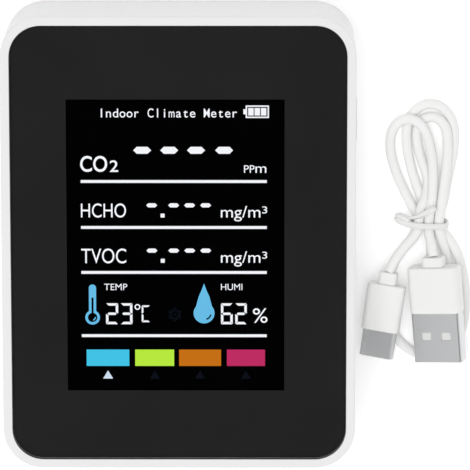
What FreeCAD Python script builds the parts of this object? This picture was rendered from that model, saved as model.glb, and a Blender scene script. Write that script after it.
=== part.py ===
"""Desktop air quality monitor with its charging cable, as an assembly of separate solids.

Units are millimetres. The monitor lies on its back: Z = 0 is its rear face, +Z points out of
the display and +Y points to the top of the display. The origin is the centre of the rear face.
The unplugged charging cable lies beside it, at +X, folded into a hank on the same surface.
"""
import FreeCAD
import Part
import math
import os

from FreeCAD import Placement, Rotation, Vector

# ---------------------------------------------------------------- case, driving dimensions
CASE_WIDTH = 84.0
CASE_HEIGHT = 109.0
CASE_DEPTH = 28.5
CORNER_RADIUS = 9.6
WALL = 2.1
RIM_ROUND = 0.5
REAR_ROUND = 1.4
PARTING_Z = 3.2
REAR_FLOOR = 2.0
PARTING_STEP = 0.2
PARTING_GROOVE = 0.4
LIP_GAP = 0.1
LIP_THICK = 1.2
LIP_HEIGHT = 2.0

# ---------------------------------------------------------------- front stack, from the front back
LENS_RECESS = 0.15
LENS_THICK = 1.5
LENS_GAP = 0.1
MASK_THICK = 0.1
ADHESIVE_THICK = 0.15
ADHESIVE_INSET = 0.6
ADHESIVE_WINDOW_GAP = (2.0, 2.5)
ADHESIVE_CORNER = 1.5
FRONT_WALL = 1.8
LENS_CHAMFER = 0.15
LENS_TOP = CASE_DEPTH - LENS_RECESS
LENS_LOW = LENS_TOP - LENS_THICK
MASK_LOW = LENS_LOW - MASK_THICK
LEDGE_Z = MASK_LOW - ADHESIVE_THICK
FRONT_WALL_LOW = LEDGE_Z - FRONT_WALL

# ---------------------------------------------------------------- display module
VIEW_WIDTH = 51.7
VIEW_HEIGHT = 70.4
VIEW_X = -0.75
VIEW_Y = -0.6
VIEW_CORNER = 0.2
GLASS_CORNER = 0.3
GLASS_BORDER = 2.4
GLASS_LEDGE = 3.6
POLARISER = 0.2
GLASS = 0.7
GASKET_HEIGHT = 0.75
POLARISER_TOP = MASK_LOW - GASKET_HEIGHT
UPPER_GLASS_LOW = POLARISER_TOP - POLARISER - GLASS
LOWER_GLASS_LOW = UPPER_GLASS_LOW - GLASS
GLASS_WIDTH = VIEW_WIDTH + 2 * GLASS_BORDER
GLASS_HEIGHT = VIEW_HEIGHT + 2 * GLASS_BORDER
DIFFUSER = 0.2
REFLECTOR = 0.2
FLEX_WIDTH = 20.0
FLEX_THICK = 0.15
FLEX_REACH = 5.0
FLEX_ON_GLASS = 1.6
HOLDER_FLOOR = 1.2
HOLDER_WALL = 1.6
LED_BAY = 3.0
WINDOW_SIDE_GAP = 0.6
WINDOW_END_GAP = 1.0
WINDOW_RADIUS = 1.2
FLEX_SLOT_GAP = 1.0
FLEX_SLOT_REACH = 4.0
FLEX_SLOT_HEADROOM = 0.3

# ---------------------------------------------------------------- main board
BOARD_THICK = 1.6
BOARD_FRONT = 19.1
BOARD_REAR = BOARD_FRONT - BOARD_THICK
BOARD_WIDTH = 75.0
BOARD_HEIGHT = 101.0
SIDE_PART_Z = 15.8

# ---------------------------------------------------------------- fasteners
BOSS_X = 35.9
BOSS_Y = 48.4
BOSS_RADIUS = 3.0
CASE_SCREW_RADIUS = 1.25
CASE_SCREW_HEAD = 2.4
CASE_SCREW_HEAD_Z = (0.8, 2.4)
CASE_SCREW_END = 14.0
PILOT_SPARE = 1.0
BOARD_PILOT_SPARE = 0.6
HEAD_RECESS_GAP = 0.2
BOSS_SPLIT_Z = 6.0
SCREW_CLEARANCE = 0.05
STANDOFF_X = 34.6
STANDOFF_Y = 21.0
STANDOFF_RADIUS = 2.4
BOARD_SCREW_RADIUS = 0.95
BOARD_SCREW_HEAD = 1.8
BOARD_SCREW_END = FRONT_WALL_LOW - 1.4
SCREW_HOLE_GAP = 0.15

# ---------------------------------------------------------------- vents
VENT_CENTRE_Y = 31.0
VENT_LENGTH = 30.0
VENT_WIDTH = 1.8
VENT_PITCH = 3.8
VENT_COUNT = 7
SIDE_VENT_LENGTH = 9.0
SIDE_VENT_WIDTH = 1.8
SIDE_VENT_PITCH = 4.2
SIDE_VENT_COUNT = 7
FILTER_MARGIN = (3.0, 2.0)
FILTER_CORNER = 2.0
FILTER_THICK = 0.4

# ---------------------------------------------------------------- side controls, on the +X wall
BUTTON_Y = 28.0
BUTTON_LENGTH = 11.0
BUTTON_WIDTH = 4.6
BUTTON_PROUD = 0.4
BUTTON_GAP = 0.2
PLUNGER_FACE_X = 36.6
PLUNGER_RADIUS = 0.95
SWITCH_FACE_X = 35.0
PORT_Y = -30.0
SOCKET_WIDTH = 8.94
SOCKET_HEIGHT = 3.26
SOCKET_LENGTH = 7.3
SOCKET_WALL = 0.3
SOCKET_MOUTH_X = 40.6
SOCKET_GAP = 0.25
PORT_RECESS_DEPTH = 0.9
PORT_RECESS_MARGIN = (1.8, 1.7)

# ---------------------------------------------------------------- charging cable
CABLE_DIAMETER = 2.4
TIE_CENTRE = Vector(60.2, 0.4, 0.0)
TIE_THICK = 0.8
TIE_WIDTH = 3.0
WAIST_HALF_WIDTH = 3.7
WAIST_HEIGHT = 2 * CABLE_DIAMETER
PAD_HEIGHT = CABLE_DIAMETER
LOOP_HEIGHT = 2 * CABLE_DIAMETER
LEAD_START_V = -2.2
LEAD_LEVEL = TIE_THICK + 1.5 * CABLE_DIAMETER

inner_half_width = CASE_WIDTH / 2 - WALL
inner_half_height = CASE_HEIGHT / 2 - WALL
wall_inner_x = inner_half_width
wall_outer_x = CASE_WIDTH / 2
view_centre = (VIEW_X, VIEW_Y)
glass_centre = (VIEW_X, VIEW_Y - GLASS_LEDGE / 2)
flex_start_y = VIEW_Y - GLASS_HEIGHT / 2 - GLASS_LEDGE + FLEX_ON_GLASS
flex_bend_y = flex_start_y - FLEX_REACH
flex_top = UPPER_GLASS_LOW + FLEX_THICK

# How far a cut runs past a face, how far fused pieces run into each other, and what counts as equal.
PAST = 1.0
OVERLAP = 0.2
TOLERANCE = 1e-4
# What a corner radius falls short of half the width by, so that a straight edge stays between two arcs.
NEARLY_ROUND = 0.01


# ================================================================ shape helpers
def rounded_outline(width, height, radius, z, centre=(0.0, 0.0)):
    """Closed wire of a rectangle with round corners, in the plane at height z."""
    cx, cy = centre
    x, y = width / 2, height / 2
    wires = []
    corners = [(x, y, 0), (-x, y, 90), (-x, -y, 180), (x, -y, 270)]
    ends = []
    for px, py, start in corners:
        mx = cx + px - math.copysign(radius, px)
        my = cy + py - math.copysign(radius, py)
        points = []
        for degrees in (start, start + 45, start + 90):
            a = math.radians(degrees)
            points.append(Vector(mx + radius * math.cos(a), my + radius * math.sin(a), z))
        wires.append(Part.Arc(*points).toShape())
        ends.append((points[0], points[2]))
    for i in range(4):
        leaving, arriving = ends[i][1], ends[(i + 1) % 4][0]
        if leaving.distanceToPoint(arriving) > TOLERANCE:
            wires.append(Part.LineSegment(leaving, arriving).toShape())
    return Part.Wire(Part.__sortEdges__(wires))


def plate(width, height, radius, z_low, z_high, centre=(0.0, 0.0)):
    """Prism of a round-cornered rectangle between two heights."""
    face = Part.Face(rounded_outline(width, height, radius, z_low, centre))
    return face.extrude(Vector(0, 0, z_high - z_low))


def block(x, y, z):
    """Box from three (low, high) pairs."""
    return Part.makeBox(x[1] - x[0], y[1] - y[0], z[1] - z[0], Vector(x[0], y[0], z[0]))


def centred_block(centre, size):
    """Box from its centre and its three sizes."""
    return block(*[(c - s / 2, c + s / 2) for c, s in zip(centre, size)])


def rod(radius, z_low, z_high, x, y):
    """Cylinder along Z."""
    return Part.makeCylinder(radius, z_high - z_low, Vector(x, y, z_low))


def rod_x(radius, x_low, x_high, y, z):
    """Cylinder along X."""
    return Part.makeCylinder(radius, x_high - x_low, Vector(x_low, y, z), Vector(1, 0, 0))


def side_slot(length, width, x_low, x_high, y, z):
    """Prism along X with a stadium section: length along Y and width along Z."""
    r = width / 2
    half = length / 2 - r
    body = block((x_low, x_high), (y - half, y + half), (z - r, z + r))
    for s in (-1, 1):
        body = body.fuse(rod_x(r, x_low, x_high, y + s * half, z))
    return body.removeSplitter()


def edges_at(shape, z):
    """Edges of a shape that lie in the plane at height z."""
    return [e for e in shape.Edges
            if abs(e.BoundBox.ZMin - z) < TOLERANCE and abs(e.BoundBox.ZMax - z) < TOLERANCE]


def upright_edges(shape):
    return [e for e in shape.Edges if e.BoundBox.ZLength > TOLERANCE and e.BoundBox.XLength < TOLERANCE
            and e.BoundBox.YLength < TOLERANCE]


def rounded_block(centre, size, radius):
    """Box with all its edges rounded."""
    solid = centred_block(centre, size)
    return solid.makeFillet(radius, solid.Edges)


def centred_steps(count, pitch):
    """Evenly spaced places about zero."""
    return [(i - (count - 1) / 2) * pitch for i in range(count)]


def four_corners(x, y):
    return [(sx * x, sy * y) for sx in (-1, 1) for sy in (-1, 1)]


def fuse_all(shapes):
    return shapes[0].multiFuse(shapes[1:]).removeSplitter()


def tube_along(points, diameter, bend_share=0.45):
    """Round tube along straight runs joined by tangent arcs. Returns the tube and its radii."""
    edges, radii = [], []
    start = points[0]
    for i in range(1, len(points) - 1):
        before, corner, after = points[i - 1], points[i], points[i + 1]
        arriving = (corner - before).normalize()
        leaving = (after - corner).normalize()
        turn = arriving.getAngle(leaving)
        shorter = min((corner - before).Length, (after - corner).Length)
        tangent = bend_share * shorter
        radius = tangent / math.tan(turn / 2)
        bend_start = corner - arriving * tangent
        bend_end = corner + leaving * tangent
        inward = (leaving - arriving).normalize()
        middle = corner + inward * (radius / math.cos(turn / 2) - radius)
        edges.append(Part.LineSegment(start, bend_start).toShape())
        edges.append(Part.Arc(bend_start, middle, bend_end).toShape())
        radii.append(round(radius, 2))
        start = bend_end
    edges.append(Part.LineSegment(start, points[-1]).toShape())
    path = Part.Wire(edges)
    heading = (points[1] - points[0]).normalize()
    section = Part.Wire(Part.makeCircle(diameter / 2, points[0], heading))
    return path.makePipeShell([section], True, True), radii


# ================================================================ case
def front_case():
    """White case: side walls, front wall with the display window, screw bosses and standoffs."""
    body = plate(CASE_WIDTH, CASE_HEIGHT, CORNER_RADIUS, PARTING_Z, CASE_DEPTH)
    body = body.makeFillet(RIM_ROUND, edges_at(body, CASE_DEPTH))
    inner = (2 * inner_half_width, 2 * inner_half_height, CORNER_RADIUS - WALL)
    body = body.cut(plate(*inner, PARTING_Z, FRONT_WALL_LOW))
    body = body.cut(plate(*inner, LEDGE_Z, CASE_DEPTH))
    window = (GLASS_WIDTH + 2 * WINDOW_SIDE_GAP, GLASS_HEIGHT + GLASS_LEDGE + 2 * WINDOW_END_GAP, WINDOW_RADIUS)
    body = body.cut(plate(*window, FRONT_WALL_LOW, LEDGE_Z, glass_centre))
    boss_places = four_corners(BOSS_X, BOSS_Y)
    standoff_places = four_corners(STANDOFF_X, STANDOFF_Y)
    post_top = FRONT_WALL_LOW + OVERLAP
    posts = [rod(BOSS_RADIUS, BOSS_SPLIT_Z, post_top, x, y) for x, y in boss_places]
    posts += [rod(STANDOFF_RADIUS, BOARD_FRONT, post_top, x, y) for x, y in standoff_places]
    body = fuse_all([body] + posts)
    pilot = CASE_SCREW_RADIUS + SCREW_CLEARANCE
    small_pilot = BOARD_SCREW_RADIUS + SCREW_CLEARANCE
    holes = [rod(pilot, BOSS_SPLIT_Z, CASE_SCREW_END + PILOT_SPARE, x, y) for x, y in boss_places]
    holes += [rod(small_pilot, BOARD_FRONT, BOARD_SCREW_END + BOARD_PILOT_SPARE, x, y)
              for x, y in standoff_places]
    return body.cut(Part.makeCompound(holes + side_openings() + side_vents() + [flex_slot()]))


def side_openings():
    """Openings in the +X wall: the button's, the socket's, and the finger recess round the socket."""
    through = (wall_inner_x - PAST, wall_outer_x + PAST)
    button = side_slot(BUTTON_LENGTH + 2 * BUTTON_GAP, BUTTON_WIDTH + 2 * BUTTON_GAP, *through,
                       BUTTON_Y, SIDE_PART_Z)
    socket = side_slot(SOCKET_WIDTH + 2 * SOCKET_GAP, SOCKET_HEIGHT + 2 * SOCKET_GAP, *through,
                       PORT_Y, SIDE_PART_Z)
    recess = side_slot(SOCKET_WIDTH + 2 * PORT_RECESS_MARGIN[0], SOCKET_HEIGHT + 2 * PORT_RECESS_MARGIN[1],
                       wall_outer_x - PORT_RECESS_DEPTH, wall_outer_x + PAST, PORT_Y, SIDE_PART_Z)
    return [button, socket, recess]


def flex_slot():
    """Way through the front wall for the display's flat flex."""
    half = FLEX_WIDTH / 2 + FLEX_SLOT_GAP
    return block((-half, half), (flex_bend_y - FLEX_SLOT_REACH, flex_start_y),
                 (FRONT_WALL_LOW - PAST, flex_top + FLEX_SLOT_HEADROOM))


def side_vents():
    """Row of upright slots through the -X wall, beside the temperature and humidity sensor."""
    slots = []
    for y in centred_steps(SIDE_VENT_COUNT, SIDE_VENT_PITCH):
        slot = side_slot(SIDE_VENT_LENGTH, SIDE_VENT_WIDTH, -wall_outer_x - PAST, -wall_inner_x + PAST, 0, 0)
        slot.Placement = Placement(Vector(0, y, SIDE_PART_Z), Rotation(Vector(1, 0, 0), 90))
        slots.append(slot)
    return slots


def rear_cover():
    """Rear cover: floor, low wall, locating lip, screw tubes and vent slots."""
    groove_z = PARTING_Z - PARTING_GROOVE
    body = plate(CASE_WIDTH, CASE_HEIGHT, CORNER_RADIUS, 0, groove_z)
    body = body.makeFillet(REAR_ROUND, edges_at(body, 0))
    step = plate(CASE_WIDTH - 2 * PARTING_STEP, CASE_HEIGHT - 2 * PARTING_STEP,
                 CORNER_RADIUS - PARTING_STEP, groove_z, PARTING_Z)
    lip_width, lip_height = 2 * (inner_half_width - LIP_GAP), 2 * (inner_half_height - LIP_GAP)
    lip_radius = CORNER_RADIUS - WALL - LIP_GAP
    lip_top = PARTING_Z + LIP_HEIGHT
    lip = plate(lip_width, lip_height, lip_radius, PARTING_Z, lip_top)
    hollow = plate(lip_width - 2 * LIP_THICK, lip_height - 2 * LIP_THICK, lip_radius - LIP_THICK,
                   REAR_FLOOR, lip_top)
    body = fuse_all([body, step, lip]).cut(hollow)
    corners = four_corners(BOSS_X, BOSS_Y)
    posts = [rod(BOSS_RADIUS, REAR_FLOOR - OVERLAP, BOSS_SPLIT_Z, x, y) for x, y in corners]
    within_lip = plate(lip_width, lip_height, lip_radius, 0, BOSS_SPLIT_Z)
    body = fuse_all([body] + [post.common(within_lip) for post in posts])
    cuts = [rod(CASE_SCREW_RADIUS + SCREW_HOLE_GAP, 0, BOSS_SPLIT_Z, x, y) for x, y in corners]
    cuts += [rod(CASE_SCREW_HEAD + HEAD_RECESS_GAP, 0, CASE_SCREW_HEAD_Z[1], x, y) for x, y in corners]
    return body.cut(Part.makeCompound(cuts + rear_vents()))


def rear_vents():
    """Stack of long slots through the rear floor, over the gas sensors."""
    slots = []
    for along in centred_steps(VENT_COUNT, VENT_PITCH):
        slots.append(plate(VENT_LENGTH, VENT_WIDTH, VENT_WIDTH / 2 - NEARLY_ROUND,
                           -PAST, REAR_FLOOR + PAST, (0, VENT_CENTRE_Y + along)))
    return slots


def dust_filter():
    """Thin filter sheet glued inside the rear vents."""
    width = VENT_LENGTH + 2 * FILTER_MARGIN[0]
    height = VENT_COUNT * VENT_PITCH + 2 * FILTER_MARGIN[1]
    return plate(width, height, FILTER_CORNER, REAR_FLOOR, REAR_FLOOR + FILTER_THICK, (0, VENT_CENTRE_Y))


def front_lens():
    """Flat acrylic window that fills the front inside the rim."""
    body = plate(2 * (inner_half_width - LENS_GAP), 2 * (inner_half_height - LENS_GAP),
                 CORNER_RADIUS - WALL - LENS_GAP, LENS_LOW, LENS_TOP)
    return body.makeChamfer(LENS_CHAMFER, edges_at(body, LENS_TOP))


def lens_mask():
    """Black ink printed on the back of the lens, open over the viewing area."""
    outer = plate(2 * (inner_half_width - LENS_GAP), 2 * (inner_half_height - LENS_GAP),
                  CORNER_RADIUS - WALL - LENS_GAP, MASK_LOW, LENS_LOW)
    return outer.cut(plate(VIEW_WIDTH, VIEW_HEIGHT, VIEW_CORNER, MASK_LOW - PAST, LENS_LOW + PAST, view_centre))


def lens_adhesive():
    """Double-sided tape frame between the lens and the front wall."""
    outer = plate(2 * (inner_half_width - ADHESIVE_INSET), 2 * (inner_half_height - ADHESIVE_INSET),
                  CORNER_RADIUS - WALL - ADHESIVE_INSET, LEDGE_Z, MASK_LOW)
    width = GLASS_WIDTH + 2 * ADHESIVE_WINDOW_GAP[0]
    height = GLASS_HEIGHT + GLASS_LEDGE + 2 * ADHESIVE_WINDOW_GAP[1]
    return outer.cut(plate(width, height, ADHESIVE_CORNER, LEDGE_Z - PAST, MASK_LOW + PAST, glass_centre))


# ================================================================ display module
POLARISER_INSET = 0.4
GASKET_INSET = 0.3
GASKET_OPENING_GAP = 0.5
GASKET_CORNERS = (1.0, 0.5)


def lcd_gasket():
    """Foam frame between the glass and the back of the lens."""
    outer = plate(GLASS_WIDTH - 2 * GASKET_INSET, GLASS_HEIGHT - 2 * GASKET_INSET, GASKET_CORNERS[0],
                  POLARISER_TOP, MASK_LOW, view_centre)
    return outer.cut(plate(VIEW_WIDTH + 2 * GASKET_OPENING_GAP, VIEW_HEIGHT + 2 * GASKET_OPENING_GAP,
                           GASKET_CORNERS[1], POLARISER_TOP - PAST, MASK_LOW + PAST, view_centre))


def lcd_front_polariser():
    return plate(GLASS_WIDTH - 2 * POLARISER_INSET, GLASS_HEIGHT - 2 * POLARISER_INSET, GLASS_CORNER,
                 POLARISER_TOP - POLARISER, POLARISER_TOP, view_centre)


def lcd_upper_glass():
    return plate(GLASS_WIDTH, GLASS_HEIGHT, GLASS_CORNER, UPPER_GLASS_LOW, UPPER_GLASS_LOW + GLASS, view_centre)


def lcd_lower_glass():
    """Lower glass, longer than the upper one by the ledge that the flex is bonded to."""
    return plate(GLASS_WIDTH, GLASS_HEIGHT + GLASS_LEDGE, GLASS_CORNER, LOWER_GLASS_LOW, UPPER_GLASS_LOW,
                 glass_centre)


GUIDE_INSET = 0.4
REAR_POLARISER_INSET = 0.2
light_guide_low = BOARD_FRONT + HOLDER_FLOOR + REFLECTOR
light_guide_high = LOWER_GLASS_LOW - POLARISER - DIFFUSER
guide_width = GLASS_WIDTH - 2 * GUIDE_INSET
guide_height = GLASS_HEIGHT - 2 * GUIDE_INSET
guide_bottom_y = VIEW_Y - guide_height / 2
guide_top_y = VIEW_Y + guide_height / 2


def backlight_sheet(z_low, z_high, inset=0.0):
    """One layer of the backlight stack."""
    return plate(guide_width - 2 * inset, guide_height - 2 * inset, GLASS_CORNER, z_low, z_high, view_centre)


def lcd_rear_polariser():
    return backlight_sheet(LOWER_GLASS_LOW - POLARISER, LOWER_GLASS_LOW, REAR_POLARISER_INSET)


def backlight_diffuser():
    return backlight_sheet(light_guide_high, light_guide_high + DIFFUSER)


def light_guide():
    return backlight_sheet(light_guide_low, light_guide_high)


def backlight_reflector():
    return backlight_sheet(light_guide_low - REFLECTOR, light_guide_low)


LED_COUNT = 6
LED_PITCH = 8.6
LED_WIDTH = 3.8
LED_DEPTH = 1.5
LED_GAP = 0.1
LED_INSET = 0.4
LED_STRIP_HALF = 26.0
LED_STRIP_THICK = 0.3


def backlight_leds():
    """Side-firing LEDs on a narrow strip at the lower edge of the light guide."""
    led_high_y = guide_bottom_y - LED_GAP
    strip_high_y = led_high_y - LED_DEPTH
    solids = [block((VIEW_X - LED_STRIP_HALF, VIEW_X + LED_STRIP_HALF),
                    (strip_high_y - LED_STRIP_THICK, strip_high_y), (light_guide_low, light_guide_high))]
    for along in centred_steps(LED_COUNT, LED_PITCH):
        x = VIEW_X + along
        solids.append(block((x - LED_WIDTH / 2, x + LED_WIDTH / 2), (strip_high_y, led_high_y),
                            (light_guide_low + LED_INSET, light_guide_high - LED_INSET)))
    return Part.makeCompound(solids)


HOLDER_GAP = 0.1
HOLDER_CORNER = 1.0


def lcd_holder():
    """White tray that stacks the backlight and carries the glass above the main board."""
    half = guide_width / 2 + HOLDER_GAP
    low_y = guide_bottom_y - LED_BAY
    high_y = guide_top_y + HOLDER_GAP
    outer = block((VIEW_X - half - HOLDER_WALL, VIEW_X + half + HOLDER_WALL),
                  (low_y - HOLDER_WALL, high_y + HOLDER_WALL), (BOARD_FRONT, LOWER_GLASS_LOW))
    cavity = block((VIEW_X - half, VIEW_X + half), (low_y, high_y),
                   (BOARD_FRONT + HOLDER_FLOOR, LOWER_GLASS_LOW))
    return outer.makeFillet(HOLDER_CORNER, upright_edges(outer)).cut(cavity)


CONNECTOR_HEIGHT = 1.4
CONNECTOR_DEPTH = 1.8
CONNECTOR_MARGIN = 1.5
FLEX_TAIL = 0.6


def lcd_flex():
    """Flat flex from the glass ledge, bent down and forward into its connector on the board."""
    half = FLEX_WIDTH / 2
    y = flex_bend_y
    bend = (flex_top - BOARD_FRONT - CONNECTOR_HEIGHT / 2) / 2
    low = flex_top - 2 * bend
    top_run = block((-half, half), (y, flex_start_y), (UPPER_GLASS_LOW, flex_top))
    ring_centre = Vector(-half, y, flex_top - bend)
    ring = Part.makeCylinder(bend, FLEX_WIDTH, ring_centre, Vector(1, 0, 0))
    ring = ring.cut(Part.makeCylinder(bend - FLEX_THICK, FLEX_WIDTH, ring_centre, Vector(1, 0, 0)))
    ring = ring.common(block((-half, half), (y - 2 * bend, y), (0, CASE_DEPTH)))
    low_run = block((-half, half), (y, y + FLEX_TAIL), (low, low + FLEX_THICK))
    return fuse_all([top_run, ring, low_run])


def flex_connector():
    """Connector on the board that the flex ends at."""
    half = FLEX_WIDTH / 2 + CONNECTOR_MARGIN
    y = flex_bend_y + FLEX_TAIL
    return block((-half, half), (y, y + CONNECTOR_DEPTH), (BOARD_FRONT, BOARD_FRONT + CONNECTOR_HEIGHT))


# ================================================================ main board and what is on it
BOARD_CORNER = 2.0
BOSS_NOTCH_GAP = 1.2


def main_board():
    """Main board, notched round the case bosses and drilled for its four screws."""
    body = plate(BOARD_WIDTH, BOARD_HEIGHT, BOARD_CORNER, BOARD_REAR, BOARD_FRONT)
    through = (BOARD_REAR - PAST, BOARD_FRONT + PAST)
    cuts = [rod(BOSS_RADIUS + BOSS_NOTCH_GAP, *through, x, y) for x, y in four_corners(BOSS_X, BOSS_Y)]
    cuts += [rod(BOARD_SCREW_RADIUS + SCREW_HOLE_GAP, *through, x, y)
             for x, y in four_corners(STANDOFF_X, STANDOFF_Y)]
    return body.cut(Part.makeCompound(cuts))


def on_rear(x, y, size):
    """Box of a component soldered on the rear side of the main board."""
    return centred_block((x, y, BOARD_REAR - size[2] / 2), size)


CHIP_AT = (-10.0, -14.0)
CHIP_SIDE = 10.0
CHIP_HEIGHT = 1.4
CHIP_LEADS = 11
CHIP_LEAD_PITCH = 0.8
CHIP_LEAD_LENGTH = 0.9
CHIP_LEAD_WIDTH = 0.3


def microcontroller():
    """Flat square chip with leads on its four sides."""
    x, y = CHIP_AT
    solids = [on_rear(x, y, (CHIP_SIDE, CHIP_SIDE, CHIP_HEIGHT))]
    reach = (CHIP_SIDE + CHIP_LEAD_LENGTH) / 2
    lead_across = (CHIP_LEAD_LENGTH, CHIP_LEAD_WIDTH, CHIP_LEAD_WIDTH)
    lead_along = (CHIP_LEAD_WIDTH, CHIP_LEAD_LENGTH, CHIP_LEAD_WIDTH)
    for along in centred_steps(CHIP_LEADS, CHIP_LEAD_PITCH):
        for side in (-1, 1):
            solids.append(on_rear(x + side * reach, y + along, lead_across))
            solids.append(on_rear(x + along, y + side * reach, lead_along))
    return Part.makeCompound(solids)


CHARGER_AT = (22.0, -30.0)
CHARGER_SIZE = (5.0, 4.0, 1.5)
CHARGER_LEADS = 4
CHARGER_LEAD_PITCH = 1.27
CHARGER_LEAD_SIZE = (0.4, 1.0, 0.25)


def charger_chip():
    """Small charging chip with a row of leads on two sides."""
    x, y = CHARGER_AT
    solids = [on_rear(x, y, CHARGER_SIZE)]
    reach = (CHARGER_SIZE[1] + CHARGER_LEAD_SIZE[1]) / 2
    for along in centred_steps(CHARGER_LEADS, CHARGER_LEAD_PITCH):
        for side in (-1, 1):
            solids.append(on_rear(x + along, y + side * reach, CHARGER_LEAD_SIZE))
    return Part.makeCompound(solids)


INDUCTOR_AT = (22.0, -22.0)
INDUCTOR_SIZE = (5.4, 5.4, 3.0)
INDUCTOR_ROUND = 0.6
CRYSTAL_AT = (-24.0, -14.0)
CRYSTAL_SIZE = (4.6, 11.0, 3.4)
CRYSTAL_ROUND = 1.6


def power_inductor():
    body = on_rear(*INDUCTOR_AT, INDUCTOR_SIZE)
    return body.makeFillet(INDUCTOR_ROUND, upright_edges(body))


def crystal():
    body = on_rear(*CRYSTAL_AT, CRYSTAL_SIZE)
    return body.makeFillet(CRYSTAL_ROUND, upright_edges(body))


PASSIVE_SIZE = (2.0, 1.25, 0.7)
PASSIVE_ROWS_Y = (-24.0, -4.0, 4.0)
PASSIVE_ROW_COUNT = 7
PASSIVE_ROW_X = -22.0
PASSIVE_ROW_SHIFT = 1.5
PASSIVE_PITCH = 4.0
PASSIVE_COLUMN_AT = (28.0, -22.0)
PASSIVE_COLUMN_COUNT = 4
PASSIVE_COLUMN_PITCH = 2.6


def board_passives():
    """Small resistors and capacitors in rows beside the chips."""
    solids = []
    for row, y in enumerate(PASSIVE_ROWS_Y):
        for i in range(PASSIVE_ROW_COUNT):
            x = PASSIVE_ROW_X + i * PASSIVE_PITCH + row * PASSIVE_ROW_SHIFT
            solids.append(on_rear(x, y, PASSIVE_SIZE))
    x, y = PASSIVE_COLUMN_AT
    for i in range(PASSIVE_COLUMN_COUNT):
        solids.append(on_rear(x, y + i * PASSIVE_COLUMN_PITCH, PASSIVE_SIZE))
    return Part.makeCompound(solids)


CO2_X, CO2_Y = -14.0, 31.0
CO2_PIN_LENGTH = 2.0
CO2_PIN_RADIUS = 0.32
CO2_PIN_X = 16.4
CO2_PIN_PITCH = 2.54
CO2_PIN_COUNT = 5
CO2_BOARD_SIZE = (36.0, 24.0, 1.2)
CO2_CHAMBER_SIZE = (32.0, 19.0, 8.0)
CO2_CHAMBER_ROUND = 1.5
CO2_WINDOW_RADIUS = 4.0
CO2_WINDOW_X = 7.5
CO2_WINDOW_DEPTH = 0.5
co2_board_high = BOARD_REAR - CO2_PIN_LENGTH
co2_chamber_high = co2_board_high - CO2_BOARD_SIZE[2]


def co2_sensor_board():
    return centred_block((CO2_X, CO2_Y, co2_board_high - CO2_BOARD_SIZE[2] / 2), CO2_BOARD_SIZE)


def co2_sensor_chamber():
    """Gold plated optical chamber with two round gas windows."""
    low = co2_chamber_high - CO2_CHAMBER_SIZE[2]
    body = centred_block((CO2_X, CO2_Y, (low + co2_chamber_high) / 2), CO2_CHAMBER_SIZE)
    body = body.makeFillet(CO2_CHAMBER_ROUND, upright_edges(body))
    windows = [rod(CO2_WINDOW_RADIUS, low - PAST, low + CO2_WINDOW_DEPTH, CO2_X + side * CO2_WINDOW_X, CO2_Y)
               for side in (-1, 1)]
    return body.cut(Part.makeCompound(windows))


def co2_sensor_pins():
    pins = [rod(CO2_PIN_RADIUS, co2_board_high, BOARD_REAR, CO2_X + side * CO2_PIN_X, CO2_Y + along)
            for side in (-1, 1) for along in centred_steps(CO2_PIN_COUNT, CO2_PIN_PITCH)]
    return Part.makeCompound(pins)


FORMALDEHYDE_AT = (17.0, 37.0)
FORMALDEHYDE_RADIUS = 8.5
FORMALDEHYDE_HEIGHT = 8.0
INLET_RADIUS = 4.5
INLET_HEIGHT = 1.0
INLET_HOLE_RADIUS = 1.5
INLET_HOLE_DEPTH = 0.6


def formaldehyde_sensor():
    """Round electrochemical cell with a raised gas inlet."""
    cell_low = BOARD_REAR - FORMALDEHYDE_HEIGHT
    inlet_low = cell_low - INLET_HEIGHT
    cell = rod(FORMALDEHYDE_RADIUS, cell_low, BOARD_REAR, *FORMALDEHYDE_AT)
    cell = cell.fuse(rod(INLET_RADIUS, inlet_low, cell_low, *FORMALDEHYDE_AT))
    return cell.cut(rod(INLET_HOLE_RADIUS, inlet_low - PAST, inlet_low + INLET_HOLE_DEPTH, *FORMALDEHYDE_AT))


VOC_AT = (17.0, 20.0)
VOC_BASE_RADIUS = 4.8
VOC_BASE_HEIGHT = 1.2
VOC_CAN_RADIUS = 4.1
VOC_CAN_HEIGHT = 5.2
VOC_GRILLE_RADIUS = 2.2
VOC_GRILLE_DEPTH = 0.3


def voc_sensor():
    """Metal can gas sensor on a round base."""
    base_low = BOARD_REAR - VOC_BASE_HEIGHT
    can_low = base_low - VOC_CAN_HEIGHT
    base = rod(VOC_BASE_RADIUS, base_low, BOARD_REAR, *VOC_AT)
    can = rod(VOC_CAN_RADIUS, can_low, base_low, *VOC_AT)
    grille = rod(VOC_GRILLE_RADIUS, can_low - PAST, can_low + VOC_GRILLE_DEPTH, *VOC_AT)
    return fuse_all([base, can]).cut(grille)


HUMIDITY_AT = (-33.5, 0.0)
HUMIDITY_SIZE = (7.0, 11.0, 4.2)
LOUVRE_COUNT = 4
LOUVRE_PITCH = 2.4
LOUVRE_SIZE = (5.0, 1.0, 1.6)


def humidity_sensor():
    """Small louvred sensor at the -X edge, behind the side slots."""
    x, y = HUMIDITY_AT
    low = BOARD_REAR - HUMIDITY_SIZE[2]
    louvres = [centred_block((x, y + along, low), LOUVRE_SIZE)
               for along in centred_steps(LOUVRE_COUNT, LOUVRE_PITCH)]
    return on_rear(x, y, HUMIDITY_SIZE).cut(Part.makeCompound(louvres))


BUZZER_AT = (27.0, 4.0)
BUZZER_RADIUS = 4.5
BUZZER_HEIGHT = 5.0
BUZZER_HOLE_RADIUS = 0.9
BUZZER_HOLE_DEPTH = 1.5


def buzzer():
    low = BOARD_REAR - BUZZER_HEIGHT
    can = rod(BUZZER_RADIUS, low, BOARD_REAR, *BUZZER_AT)
    return can.cut(rod(BUZZER_HOLE_RADIUS, low - PAST, low + BUZZER_HOLE_DEPTH, *BUZZER_AT))


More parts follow.
